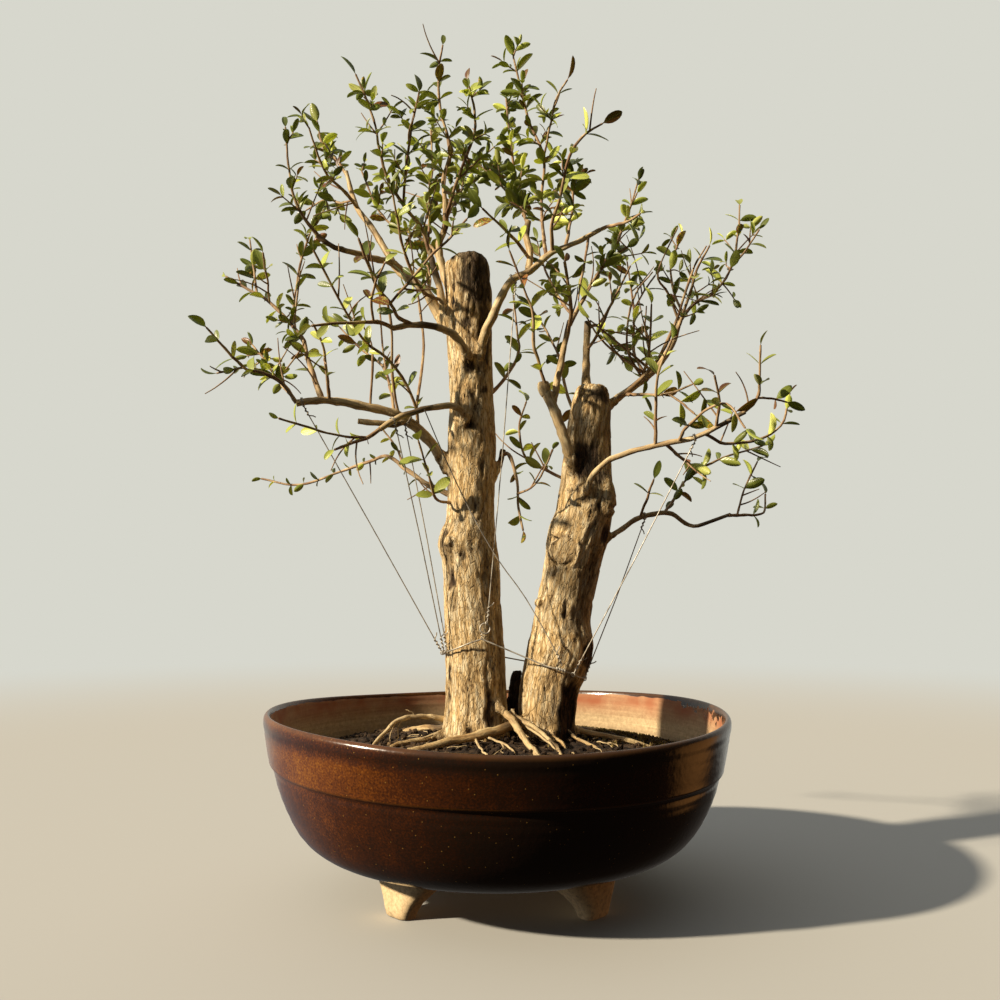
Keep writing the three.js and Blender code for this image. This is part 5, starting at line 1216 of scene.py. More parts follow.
# %% The shoots' skeleton
# A shoot: one [base radius, tip radius, points…] for itself and one for each side twig.
SHOOTS = {
    "tip_left_low": [
        [1.9, 0.9, [-170, -43, 411], [-181, -50, 427], [-196, -58, 434], [-210, -64, 437],
         [-223, -72, 451], [-236, -82, 466]],
        [1, 0.8, [-210, -64, 437], [-222, -62, 435], [-233, -60, 433]],
        [1.3, 0.8, [-174, -46, 417], [-182, -36, 425], [-192, -22, 437], [-205, -6, 454],
         [-222, 12, 474]]],
    "strong_left": [
        [2.3, 1, [-149, -38, 414], [-161, -30, 444], [-169, -22, 469], [-183, -14, 488],
         [-206, -4, 511], [-228, 6, 525], [-248, 14, 538]],
        [1.2, 0.8, [-216, 0, 518], [-222, 12, 542], [-231, 30, 578]],
        [1.2, 0.8, [-181, -15, 486], [-180, -6, 518], [-178, 8, 552], [-172, 20, 584]],
        [1, 0.8, [-203, -6, 509], [-202, -22, 524], [-202, -38, 543]]],
    "low_forward": [[1.5, 0.9, [-143, -37, 413], [-143, -52, 432], [-143, -70, 453],
        [-148, -88, 467]]],
    "slant_left": [[1.7, 0.8, [-69, -13, 391], [-72, -24, 415], [-90, -44, 446], [-111, -62, 461],
        [-129, -84, 490], [-146, -104, 523]]],
    "slant_back": [[1.6, 0.8, [-89, -21, 404], [-95, -4, 432], [-105, 18, 456], [-129, 42, 478],
        [-151, 62, 503]]],
    "front_low_tip": [
        [1.7, 0.9, [-95, -67, 386], [-106, -76, 377], [-117, -88, 370], [-128, -98, 364]],
        [1.1, 0.8, [-106, -76, 377], [-126, -92, 376], [-147, -108, 380], [-167, -122, 385]]],
    "front_high_tip": [
        [1.9, 0.9, [-85, -67, 469], [-95, -80, 471], [-108, -94, 467], [-125, -110, 462],
         [-142, -126, 456]],
        [1.1, 0.8, [-100, -86, 470], [-100, -100, 482], [-95, -112, 494], [-87, -122, 507]]],
    "fork_front": [
        [1.8, 0.9, [-71, -60, 474], [-82, -72, 478], [-87, -82, 486], [-96, -94, 495],
         [-102, -108, 510], [-108, -120, 527]],
        [1.2, 0.8, [-87, -82, 486], [-73, -92, 499], [-54, -100, 518], [-37, -106, 533],
         [-24, -110, 546]]],
    "rise_left_tip": [[1.7, 0.8, [-144, 47, 647], [-155, 56, 665], [-169, 66, 680], [-176, 76, 700],
        [-180, 84, 717]]],
    "rise_left_fork": [
        [1.6, 0.8, [-131, 37, 610], [-141, 24, 620], [-154, 12, 630], [-163, 0, 646],
         [-169, -12, 666]],
        [1.3, 0.8, [-136, 31, 616], [-150, 48, 620], [-168, 70, 632], [-191, 92, 630]]],
    "reach_left_tip": [[1.6, 0.8, [-156, -27, 561], [-168, -36, 575], [-176, -44, 593],
        [-179, -50, 617], [-181, -54, 647]]],
    "mid_high": [
        [1.9, 0.8, [-61, -4, 554], [-69, -12, 576], [-86, -24, 595], [-96, -34, 611],
         [-102, -44, 633], [-108, -52, 662], [-121, -58, 692]],
        [1.2, 0.8, [-83, -22, 591], [-80, -34, 618], [-74, -46, 650], [-67, -54, 678]],
        [1.5, 0.8, [-63, -6, 561], [-62, 8, 585], [-64, 24, 614], [-62, 42, 656], [-65, 58, 697]]],
    "mid_back": [[1.6, 0.8, [-53, 22, 554], [-65, 36, 576], [-92, 56, 598], [-115, 76, 620],
        [-137, 98, 672]]],
    "mid_front": [[1.6, 0.8, [-50, -8, 510], [-64, -24, 512], [-76, -44, 531], [-82, -62, 553],
        [-86, -78, 578]]],
    "mid_short": [[1.3, 0.8, [-64, 8, 517], [-62, 24, 534], [-65, 40, 552], [-72, 56, 571]]],
    "tallest": [[2.2, 0.8, [-48, 17, 606], [-50, 20, 633], [-44, 22, 661], [-53, 20, 697],
        [-55, 16, 729], [-51, 12, 757]]],
    "tallest_side": [
        [1.8, 0.8, [-51, 21, 580], [-42, 2, 606], [-30, -16, 633], [-21, -30, 650], [-20, -38, 670],
         [-26, -44, 694]],
        [1, 0.8, [-36, -7, 620], [-26, -11, 628], [-16, -14, 637]],
        [1.4, 0.8, [-48, 14, 590], [-39, 36, 618], [-27, 64, 645], [-10, 92, 673]]],
    "arch_tip": [[1.7, 0.8, [85, -56, 556], [96, -66, 557], [107, -78, 555], [116, -90, 558]]],
    "arch_rise": [
        [1.8, 0.8, [42, -43, 537], [39, -44, 559], [38, -42, 590], [40, -38, 627], [27, -32, 666],
         [14, -26, 725]],
        [1, 0.8, [40, -38, 627], [45, -52, 647], [50, -62, 669], [59, -68, 682]]],
    "arch_hang": [[1.3, 0.8, [77, -53, 552], [74, -60, 531], [69, -66, 508], [67, -68, 493]]],
    "stub_left": [
        [1.7, 0.8, [27, -27, 572], [19, -14, 594], [2, 4, 621], [-10, 20, 645]],
        [1.4, 0.8, [23, -21, 582], [21, -4, 605], [15, 20, 643], [11, 40, 687], [8, 54, 727]]],
    "stub_front": [[1.6, 0.8, [27, -38, 538], [17, -58, 545], [2, -78, 553], [-12, -96, 560]]],
    "arch_front": [[1.6, 0.8, [47, -44, 541], [46, -62, 560], [52, -78, 577], [57, -92, 600],
        [68, -102, 617], [84, -108, 625]]],
    "arch_back": [[1.5, 0.8, [58, -47, 546], [63, -34, 568], [67, -18, 601], [67, -4, 635]]],
    "under_left": [
        [2.4, 0.9, [-40, 4, 336], [-65, 14, 349], [-84, 24, 363], [-101, 34, 375], [-119, 46, 372],
         [-150, 66, 364], [-192, 88, 354], [-234, 106, 362]],
        [1.2, 0.8, [-84, 24, 363], [-94, 40, 384], [-108, 58, 403]]],
    "under_front": [[1.4, 0.8, [-42, -10, 329], [-53, -26, 332], [-58, -44, 351], [-65, -62, 376]]],
    "between": [[1.8, 0.8, [-9, 8, 425], [6, 22, 445], [19, 38, 470], [19, 52, 492], [15, 70, 537]]],
    "cut_left_tip": [[1.6, 0.8, [44, -25, 420], [37, -34, 443], [31, -42, 461], [30, -50, 485],
        [23, -58, 504], [10, -70, 534]]],
    "hang_mid": [
        [1.7, 0.9, [3, 7, 372], [10, -4, 372], [17, -14, 347], [18, -20, 324], [22, -26, 304]],
        [1, 0.8, [17, -17, 336], [31, -30, 342], [40, -42, 356], [46, -52, 370]]],
    "low_right_tip": [
        [1.7, 0.8, [202, -64, 399], [214, -66, 411], [215, -70, 429], [215, -76, 453]],
        [1, 0.8, [214, -66, 411], [229, -54, 413], [245, -42, 412]]],
    "low_right_up": [[1.5, 0.8, [132, -50, 374], [131, -62, 400], [131, -76, 429], [140, -90, 454]]],
    "low_right_down": [[1.5, 0.8, [139, -51, 376], [154, -42, 366], [171, -30, 358], [197, -14, 368],
        [236, 6, 381]]],
    "low_right_out": [[1.5, 0.8, [171, -58, 383], [191, -50, 376], [219, -38, 380], [244, -26, 394],
        [256, -14, 425]]],
    "low_right_front": [[1.5, 0.8, [151, -53, 377], [154, -72, 385], [165, -92, 395],
        [179, -108, 399], [190, -120, 378]]],
    "low_right_side": [[1.4, 0.8, [181, -60, 388], [180, -78, 406], [173, -94, 424]]],
    "reach_right_tip": [
        [1.5, 0.8, [212, 37, 321], [232, 46, 322], [249, 56, 325], [254, 66, 343]],
        [1, 0.8, [221, 41, 322], [231, 54, 346], [247, 66, 374]]],
    "reach_right_up": [[1.4, 0.8, [127, 12, 317], [132, 0, 334], [136, -14, 349]]],
    "reach_right_back": [[1.4, 0.8, [150, 19, 322], [163, 40, 337], [176, 62, 354], [196, 84, 368]]],
    "cut_up_right": [
        [1.9, 0.8, [64, -9, 487], [75, 4, 510], [91, 18, 541], [111, 34, 576], [123, 46, 608],
         [134, 56, 633]],
        [1.1, 0.8, [82, 10, 523], [102, 26, 556], [133, 42, 582]],
        [1.4, 0.8, [68, -4, 496], [57, 8, 514], [46, 24, 543], [40, 40, 565]]],
    "cut_up_front": [[1.8, 1.2, [62, -10, 478], [64, -24, 495], [61, -38, 514], [57, -50, 531]]],
    "behind_mid": [[1.9, 0.8, [76, 12, 402], [65, 34, 430], [59, 58, 471], [50, 78, 499],
        [32, 98, 534]]],
    "cut_mid_top": [[1.7, 0.8, [82, 14, 490], [93, 30, 496], [108, 50, 482], [129, 70, 462]]],
    "cut_mid_side": [[1.5, 0.8, [81, 11, 469], [89, -6, 480], [97, -22, 497], [104, -34, 510],
        [113, -48, 528]]],
    "fan_top": [
        [1.9, 0.8, [171, 45, 504], [185, 54, 522], [210, 64, 540], [227, 72, 565], [236, 78, 599],
         [239, 82, 631]],
        [1, 0.8, [227, 72, 565], [240, 64, 580], [251, 56, 597]],
        [1.4, 0.8, [176, 48, 510], [170, 66, 539], [171, 86, 572], [186, 106, 609]]],
    "fan_mid": [[1.6, 0.8, [165, 40, 487], [176, 28, 520], [182, 14, 544], [191, 0, 562]]],
    "fan_left": [
        [1.6, 0.8, [136, 24, 447], [128, 44, 475], [131, 66, 521], [128, 88, 576]],
        [1, 0.8, [131, 66, 521], [140, 58, 537], [150, 52, 551]]],
    "fan_front": [[1.6, 0.8, [130, 22, 442], [135, 4, 460], [135, -12, 482], [134, -26, 501]]],
    "fan_out": [
        [1.6, 0.8, [113, 14, 429], [128, -4, 426], [148, -22, 423], [166, -38, 428]],
        [1, 0.8, [148, -22, 423], [159, -30, 413], [168, -36, 403]]],
    "knot_left": [[1.5, 0.8, [61, 2, 350], [44, 18, 361], [26, 32, 373], [20, 46, 404],
        [27, 58, 430]]],
}

# %% Where the leaves stand
PAIR_STEP = 18  # mm from one pair to the next
BARE_BASE = 14  # mm of a twig that bear no leaf
LEAF_LENGTH = (12, 22)
LEAF_SLENDER = (0.3, 0.42)  # a leaf's width as a share of its length
PAIR_LEAN = (40, 64)  # degrees between a leaf and its twig
TIP_LEAN = (10, 22)
LEAF_ROLL = 60  # degrees, half of it to either side
LEAF_SEED = 4100
WORD = 0xFFFFFFFF


def repeatable(seed):
    """A random generator (mulberry32) that gives the same draws in any language."""
    state = seed & WORD

    def draw():
        nonlocal state
        state = (state + 0x6D2B79F5) & WORD
        t = state
        t = ((t ^ (t >> 15)) * (t | 1)) & WORD
        t ^= (t + (((t ^ (t >> 7)) * (t | 61)) & WORD)) & WORD
        return (t ^ (t >> 14)) / 2**32

    return draw


def square_to(direction, along):
    """The part of a direction that is square to another, at length 1."""
    return (direction - along * direction.dot(along)).normalized()


def rotated(direction, axis, angle):
    """A copy of a direction, turned round an axis by an angle in radians."""
    copy = direction.copy()
    copy.rotate(Quaternion(axis, angle))
    return copy


def shoot_frames(path, turn):
    """A direction and a side direction at each point, turning as little as they can."""
    last = len(path) - 1
    along = [(path[min(i + 1, last)] - path[max(i - 1, 0)]).normalized() for i in range(last + 1)]
    aside = rotated(Vector((along[0].y, -along[0].x, 0.01)).normalized(), along[0], turn)
    frames = []
    for direction in along:
        aside = square_to(aside, direction)
        frames.append((direction, aside))
    return frames


def leaf_places(points, seed):
    """The leaves of one twig, as (stretch, share, middle line, upper side, length, width)."""
    draw = repeatable(seed)

    def between(low, high):
        return low + (high - low) * draw()

    path = [Vector(point) for point in points]
    frames = shoot_frames(path, math.tau * draw())
    runs = [0.0]
    for i in range(1, len(path)):
        runs.append(runs[-1] + (path[i] - path[i - 1]).length)
    total = runs[-1]
    pairs = max(1, math.floor((total - BARE_BASE) / PAIR_STEP))
    places = []
    for pair in range(pairs + 1):
        tip = pair == pairs
        distance = total if tip else total - (pairs - pair) * PAIR_STEP + 4 * draw()
        i = max(1, next(k for k, run in enumerate(runs) if run >= distance - 1e-6))
        share = (distance - runs[i - 1]) / (runs[i] - runs[i - 1])
        along = frames[i - 1][0].lerp(frames[i][0], share).normalized()
        aside = square_to(frames[i - 1][1].lerp(frames[i][1], share), along)
        across = along.cross(aside)
        for face in [-1] if tip else [pair % 2, pair % 2 + 2]:
            lean = math.radians(between(*(TIP_LEAN if tip else PAIR_LEAN)))
            roll = math.radians(LEAF_ROLL * (draw() - 0.5))
            length = between(*LEAF_LENGTH)
            width = length * between(*LEAF_SLENDER)
            out = (across if face % 2 else aside) * (-1 if face > 1 else 1)
            axis = along * math.cos(lean) + out * math.sin(lean)
            facing = rotated(square_to(along, axis), axis, 0 if tip else roll)
            places.append((i - 1, share, axis, facing, length, width))
    return places


total = sum(len(leaf_places(twig[2:], LEAF_SEED + 10 * i + k))
            for i, twigs in enumerate(SHOOTS.values()) for k, twig in enumerate(twigs))
print(len(SHOOTS), "shoots,", total, "leaf places")

# %% [markdown]
# ## The leaf
# One leaf is modelled flat as a narrow grid: two strips wide, with the midrib between them, and
# seven rows long. Each row is scaled to the leaf's outline with the cross-section's width in
# mind, then the sheet gets a thickness. Copies are bent as they are placed: every leaf folds
# and arches by its own amount.

# %% One leaf
# Half widths along the leaf, as shares of its greatest, from stalk to tip.
LEAF_OUTLINE = [
    (0.0, 0.1), (0.08, 0.13), (0.21, 0.6), (0.38, 0.94), (0.56, 1.0), (0.75, 0.88),
    (0.9, 0.58), (1.0, 0.12),
]
LEAF_ROWS = len(LEAF_OUTLINE)

start_afresh()
bpy.ops.mesh.primitive_grid_add(
    x_subdivisions=2, y_subdivisions=LEAF_ROWS - 1, size=2, location=(0, 0, 0))
leaf = bpy.context.object
bpy.ops.object.mode_set(mode="EDIT")
for row, (share, half_width) in enumerate(LEAF_OUTLINE):
    level = -1 + 2 * row / (LEAF_ROWS - 1)
    select_where(leaf, lambda place: abs(place.y - level) < 0.02 and abs(place.z) < 1)
    bpy.ops.transform.resize(value=(half_width, 1, 1), center_override=(0, level, 0))
    bpy.ops.transform.translate(value=(0, 2 * share - 1 - level, 10))
bpy.ops.mesh.select_all(action="SELECT")
bpy.ops.transform.translate(value=(0, 0, -10))
bpy.ops.object.mode_set(mode="OBJECT")
blade = points_of(leaf)
LEAF_FACES = [list(face.vertices) for face in leaf.data.polygons]
LEAF_ACROSS = blade[:, 0]
LEAF_ALONG = (blade[:, 1] + 1) / 2
border = [edge.vertices[:] for edge in leaf.data.edges
          if sum(set(edge.vertices) <= set(face) for face in LEAF_FACES) == 1]
bpy.data.objects.remove(leaf)
print("leaf:", len(LEAF_FACES), "faces,", len(border), "edges round it")

# %% Placing the leaves
LEAF_THICKNESS = 0.32
count = len(LEAF_ALONG)
# The closed leaf: the upper sheet, the lower sheet turned over, and a rim between them.
CLOSED_FACES = LEAF_FACES + [[corner + count for corner in face[::-1]] for face in LEAF_FACES]
for a, b in border:
    owner = next(face for face in LEAF_FACES if a in face and b in face)
    forward = owner[(owner.index(a) + 1) % len(owner)] == b
    low, high = (b, a) if forward else (a, b)
    CLOSED_FACES.append([low, high, high + count, low + count])


def bent_leaf(base, axis, facing, length, width, fold, arch, twist):
    """The closed leaf's points in mm, folded along its midrib and arched."""
    side = axis.cross(facing)
    u = np.tile(LEAF_ACROSS, 2)
    v = np.tile(LEAF_ALONG, 2)
    sheet = np.repeat([0.5, -0.5], count) * LEAF_THICKNESS * (1 - 0.6 * v)
    bend = arch * v
    forward = np.sin(bend) / arch * length
    drop = (1 - np.cos(bend)) / arch * length
    out = u * width / 2
    turned = twist * v
    rise = np.abs(out) * fold + sheet
    across = out * np.cos(turned) - rise * np.sin(turned)
    up = out * np.sin(turned) + rise * np.cos(turned)
    lift = up * np.cos(bend) - drop
    forward += up * np.sin(bend)
    return (np.array(base) + np.outer(forward, axis) + np.outer(across, side)
            + np.outer(lift, facing))


# Thick parts of the crown: [x, y, z, reach], in mm.
CROWDED = [
    [-84, 10, 628, 96], [-38, 10, 650, 100], [-122, 16, 590, 56], [36, -6, 615, 70], [88, 0, 560, 54],
    [122, 20, 588, 42], [205, 60, 545, 46], [165, 20, 500, 46], [-186, -10, 470, 32],
]
SPARSE_FROM = 100  # mm to the right of the middle: beyond it side twigs bear fewer leaves
SPARSE_SHARE = 0.35  # and joints have this share of the side leaves
FIRST_WIDER = 1.12  # the leaves of a pair are wider than the solid model's by this much
LIMITS = [[c / MM for c in corner] for corner in cad_box]
# Shaded shoots whose leaves stayed small, with their share of the usual size.
SMALL_LEAVED = {"under_left": 0.62, "front_low_tip": 0.75, "low_forward": 0.75, "hang_mid": 0.8}
# Parts with many fine twigs that have lost their leaves.
TWIGGY = [[-150, 0, 500, 95], [-95, 0, 555, 85], [170, 30, 450, 85]]
TWIG_STEPS = 5
TWIG_RADIUS = 0.8
TWIG_SHARES = (0, 0.35, 0.7, 1)  # of a short twig's length, for its points
LEAF_ROOM = 14  # mm kept free for the leaf at a side twig's tip
WOOD_PLACES = [place for route, _ in limb_bars.values() for place in route]
WOOD_PLACES += [place for twigs in SHOOTS.values() for twig in twigs for place in bar_of(twig)[0]]
# Long stems without leaves, as [base radius, tip radius, points…], by the shoot they stand in.
# Each starts from the nearest limb or shoot.
BARE_STEMS = {
    "fan_mid": [
        [2.2, 0.7, [106, 8, 421], [130, 12, 443], [149, 16, 468], [165, 14, 503], [175, 4, 538],
         [187, -6, 560]],
        [1.4, 0.6, [169, 40, 508], [159, 34, 528], [148, 24, 544], [165, 14, 584]]],
    "fan_left": [
        [1.3, 0.6, [122, 16, 447], [116, 2, 470], [120, -10, 510], [137, -16, 533]],
        [1.2, 0.6, [139, 24, 465], [138, 36, 489], [140, 44, 519]],
        [1.1, 0.6, [90, 30, 487], [108, 36, 523], [119, 44, 560]]],
    "fan_front": [
        [1.4, 0.6, [120, 12, 447], [96, -4, 471], [76, -16, 496]],
        [1.3, 0.6, [140, 20, 456], [109, 2, 473], [82, -10, 491]]],
    "slant_left": [
        [1.4, 0.7, [-84, -20, 406], [-90, -34, 435], [-91, -48, 488], [-102, -56, 510],
         [-113, -62, 543]],
        [1.1, 0.6, [-109, -22, 423], [-107, -36, 458], [-115, -44, 479]]],
    "slant_back": [
        [1.1, 0.6, [-100, 0, 418], [-103, 12, 463], [-109, 26, 520], [-106, 34, 547]],
        [1.5, 0.8, [-70, 4, 419], [-67, 12, 473], [-74, 16, 526], [-85, 18, 558]]],
    "reach_left_tip": [
        [1.1, 0.6, [-169, -4, 455], [-178, -16, 487], [-172, -26, 531]],
        [1, 0.6, [-153, -20, 486], [-168, -30, 463], [-181, -36, 441]]],
}


def nearest_wood(point):
    """The nearest place on the middle line of a limb or a shoot."""
    return min(WOOD_PLACES, key=lambda place: math.dist(place, point))


def crowding(place, zones=CROWDED):
    """How near a place is to the middle of one of the zones, from 0 to 1."""
    return max(math.exp(-math.dist(place, zone[:3]) ** 2 / zone[3]**2) for zone in zones)


def room_for(base, axis, length):
    """The leaf's length, shortened where it would leave the box of the solid model."""
    for i in range(3):
        if abs(axis[i]) > 0.05:
            limit = LIMITS[axis[i] > 0][i] - math.copysign(1.5, axis[i])
            length = min(length, max(4, (limit - base[i]) / axis[i]))
    return length


def on_twig(base, heading, bend, reach, share):
    """A place at a share of a short twig, which bends away from its first heading."""
    return base + reach * share * (heading + bend * share)


def side_twig(draw, base, axis, facing):
    """A short twig that leaves a joint beside a leaf, if it has room: its bar and its leaves."""
    sparse = base.x > SPARSE_FROM
    length = draw.uniform(14, 30) if sparse else draw.uniform(9, 19)
    heading = rotated(axis, facing, draw.uniform(0.2, 0.9) * draw.choice((-1, 1)))
    heading.z += 0.3
    heading.normalize()
    length = room_for(base, heading, length + LEAF_ROOM) - LEAF_ROOM
    if length < 5:
        return [], []
    bend = random_way(draw, 0.15)
    points = [on_twig(base, heading, bend, length, share) for share in TWIG_SHARES]
    side = square_to(facing, heading)
    leaves = []
    for share, quarter in ((0.9, 1),) if sparse else ((0.45, 0), (0.9, 1)):
        plane = rotated(side, heading, quarter * math.pi / 2)
        for lean in (0.9, -0.9):
            way = rotated(heading, plane, lean + draw.uniform(-0.3, 0.3))
            upper = rotated(square_to(heading, way), way, draw.uniform(-0.6, 0.6))
            size = draw.uniform(9, 16)
            leaves.append((on_twig(base, heading, bend, length, share), way, upper, size,
                           size * draw.uniform(0.32, 0.42)))
    size = draw.uniform(10, 15)
    leaves.append((points[-1], heading, side, size, size * 0.36))
    return [bar_of([TWIG_RADIUS, 0.5, *points], 3)], leaves


def bare_twigs(draw, route):
    """Fine twigs without leaves that leave one twig: their bars."""
    bars = []
    for low in range(2, len(route) - 2, 2):
        base = Vector(route[low])
        if draw.random() > 0.06 + 0.5 * crowding(base, TWIGGY):
            continue
        along = (Vector(route[low + 1]) - base).normalized()
        hinge = square_to(random_way(draw, 1), along)
        heading = rotated(along, hinge, draw.uniform(0.5, 1.1))
        bend = random_way(draw, 0.14)
        length = room_for(base, heading, draw.uniform(16, 52)) * 0.9
        points = [on_twig(base, heading, bend, length, share) for share in TWIG_SHARES]
        inside = all(LIMITS[0][i] + 1 < point[i] < LIMITS[1][i] - 1
                     for point in points for i in range(3))
        if inside and length > 8:
            bars.append(bar_of([TWIG_RADIUS, 0.4, *points], 3))
    return bars


def leaves_along(draw, route, places, scale):
    """What stands on one twig: its leaves, as (base, axis, upper side, length, width), and the
    bars of its side twigs."""
    leaves = []
    bars = []
    for i, share, axis, facing, length, width in places:
        at = (i + share) * TWIG_STEPS
        low = min(int(at), len(route) - 2)
        base = Vector(route[low]).lerp(Vector(route[low + 1]), at - low)
        length *= scale
        width *= scale
        leaves.append((base, axis, facing, length, FIRST_WIDER * width))
        near = crowding(base)
        more = near * (SPARSE_SHARE if base.x > SPARSE_FROM else 1)
        for _ in range((draw.random() < 0.8 * more) + (draw.random() < 0.4 * more)):
            # A short side leaf or two from the same joint, smaller than the pair.
            way = rotated(axis, facing, draw.uniform(0.5, 1.3) * draw.choice((-1, 1)))
            upper = rotated(square_to(facing, way), way, draw.uniform(-0.7, 0.7))
            size = draw.uniform(0.6, 0.95)
            leaves.append((base, way, upper, length * size, width * size))
        if draw.random() < 0.85 * near:
            side_bars, side_leaves = side_twig(draw, base, axis, facing)
            bars += side_bars
            leaves += side_leaves
    return leaves, bars


def make_spray(name, twigs, seed):
    """One leafy shoot: its round twigs and its leaves, as one mesh with two materials."""
    draw = random.Random(seed)
    fine_draw = random.Random(seed + 5)
    bars = []
    leaves = []

    def add_bar(entry, shift):
        route, radii = bar_of(entry, TWIG_STEPS)
        route = uneven(route, shift, 1)
        bars.append((route, knobbly(route, radii, shift, 0.2, PAIR_STEP / 2)))
        return route

    for k, entry in enumerate(twigs):
        route = add_bar(entry, seed + k)
        bars += bare_twigs(fine_draw, route)
        more_leaves, more_bars = leaves_along(
            draw, route, leaf_places(entry[2:], seed + k), SMALL_LEAVED.get(name, 1))
        bars += more_bars
        leaves += more_leaves
    for k, (base_radius, tip_radius, foot, *points) in enumerate(BARE_STEMS.get(name, [])):
        add_bar([base_radius, tip_radius, nearest_wood(foot), *points], seed + 50 + k)
    wood = round_bars(f"shoot_{name}", bars, 2)
    grain_rows, thickness = grain_of_bars(bars, 8)
    wood_count = len(wood.data.vertices)
    assert wood_count == len(thickness), (name, wood_count)
    rows = [points_of(wood) / MM]
    faces = [list(face.vertices) for face in wood.data.polygons]
    kinds = [0] * len(faces)
    ages = []
    tones = []
    for j, (base, axis, facing, full_length, width) in enumerate(leaves):
        start = wood_count + j * 2 * count
        length = room_for(base, axis, full_length)
        width *= length / full_length
        fold = draw.uniform(0.12, 0.5)
        arch = draw.uniform(0.15, 0.85)
        twist = draw.uniform(-0.35, 0.35)
        rows.append(bent_leaf(base, axis, facing, length, width, fold, arch, twist))
        faces += [[corner + start for corner in face] for face in CLOSED_FACES]
        ages.append(draw.random())
        tones.append(draw.random())
    kinds += [1] * (len(faces) - len(kinds))
    piece = add_mesh(wood.name, (np.vstack(rows) * MM).tolist(), [], faces)
    bpy.data.objects.remove(wood)
    leaf_points = len(leaves) * 2 * count
    mark(piece, "thickness", np.concatenate([thickness, np.zeros(leaf_points)]))
    mark(piece, "grainwise", np.vstack([grain_rows, np.zeros((leaf_points, 3))]) * MM)
    for look, values in (
            ("age", np.repeat(ages, 2 * count)), ("tone", np.repeat(tones, 2 * count)),
            ("leaf_along", np.tile(LEAF_ALONG, 2 * len(leaves))),
            ("leaf_across", np.tile(LEAF_ACROSS, 2 * len(leaves)))):
        mark(piece, look, np.concatenate([np.zeros(wood_count), values]))
    for material in (twig_bark, leaf_green):
        piece.data.materials.append(material)
    piece.data.polygons.foreach_set("material_index", np.array(kinds, np.int32))
    return piece, len(leaves)


# %% [markdown]
# ## Leaf green
# A pomegranate leaf is thin and glossy: wax on its skin gives it a clear shine (IOR near 1.45,
# roughness 0.35), and light from behind comes through yellow-green. So the surface is mixed
# with a translucent one. New leaves are yellow-green, grown ones deep green, and a few turn
# yellow or brown. The midrib is paler, and side veins make faint ridges.

# %% The leaf's material
leaf_green, tree, shader = new_material("pomegranate_leaf")
place = add_node(tree, "TexCoord").outputs["Object"]
age, tone, along, across = (
    add_node(tree, "Attribute", attribute_name=name).outputs["Fac"]
    for name in ("age", "tone", "leaf_along", "leaf_across"))
mottle = add_node(tree, "TexNoise", {"Vector": place, "Scale": per_mm(3.5), "Detail": 3})
aged = add_node(tree, "Math", {0: mottle, 1: 0.12, 2: age}, operation="MULTIPLY_ADD")
green = add_node(tree, "ValToRGB", {"Fac": aged}, stops=[
    (0.05, "#d8d97a"), (0.2, "#c3c864"), (0.42, "#a3aa4c"), (0.7, "#7a8436"), (0.985, "#606b29"),
    (1.01, "#d9b340"), (1.05, "#cf9334"), (1.075, "#7a4a20")])
brighter = add_node(tree, "MapRange", {"Value": tone, "To Min": 0.6, "To Max": 1.9})
toned = add_node(tree, "VectorMath", {0: green, "Scale": brighter}, operation="SCALE")
edge = add_node(tree, "Math", {0: across}, operation="ABSOLUTE")
rib = add_node(tree, "MapRange", {"Value": edge, "From Max": 0.16, "To Min": 0.55, "To Max": 0})
ribbed = add_node(tree, "MixRGB", {"Fac": rib, "Color1": toned, "Color2": linear("#a9b35c")})
stalk = add_node(tree, "MapRange", {"Value": along, "From Min": 0.12, "From Max": 0.02})
colour = add_node(tree, "MixRGB", {"Fac": stalk, "Color1": ribbed, "Color2": linear("#9a5a35")})
slanted = add_node(tree, "Math", {0: edge, 1: -0.35, 2: along}, operation="MULTIPLY_ADD")
veins = add_node(tree, "Math", {0: slanted, 1: 9 * math.tau}, operation="MULTIPLY")
waves = add_node(tree, "Math", {0: veins}, operation="SINE")
raised = add_node(tree, "Math", {0: rib, 1: 2.0, 2: waves}, operation="MULTIPLY_ADD")
bump = add_node(tree, "Bump", {"Strength": 0.25, "Distance": 0.0002, "Height": raised})
set_inputs(shader, {"Base Color": colour, "Normal": bump, "Roughness": 0.32, "IOR": 1.45,
                    "Specular IOR Level": 0.95})
through = add_node(tree, "MixRGB", {"Fac": 0.5, "Color1": colour, "Color2": linear("#ced566")})
glow = add_node(tree, "BsdfTranslucent", {"Color": through})
mix = add_node(tree, "MixShader", {0: 0.3, 1: shader, 2: glow})
set_inputs(tree.nodes["Material Output"], {"Surface": mix})

# %% All the shoots
leaf_total = 0
for i, (name, twigs) in enumerate(SHOOTS.items()):
    piece, made = make_spray(name, twigs, LEAF_SEED + 10 * i)
    finish_piece(piece, [f"spray_{name}"], angle=80)
    leaf_total += made
print(leaf_total, "leaves on", len(SHOOTS), "shoots")

# %% [markdown]
# ## Training wire
# The tree is held by soft galvanised wire. A belt goes round both trunks, with a ring twisted
# up in its front; guys run from the belt or the ring up to the limbs they pull down. A guy is
# straight, it is wound once round its limb and once round the belt, and each tail is twisted
# round the wire and sticks out a little. So every wire is a route of points with one radius:
# a straight stretch, or a helix. Outdoors the zinc turns dull grey with a brown bloom.

# %% Routes of wire
WIRE = 0.5  # radius, mm
BELT_WIRE = 0.65  # the belt's and its ring's
OFF_BARK = 3.1  # from the trunk's mean surface to the belt
TAIL_PITCH = 3.6  # one turn of a tail round its wire
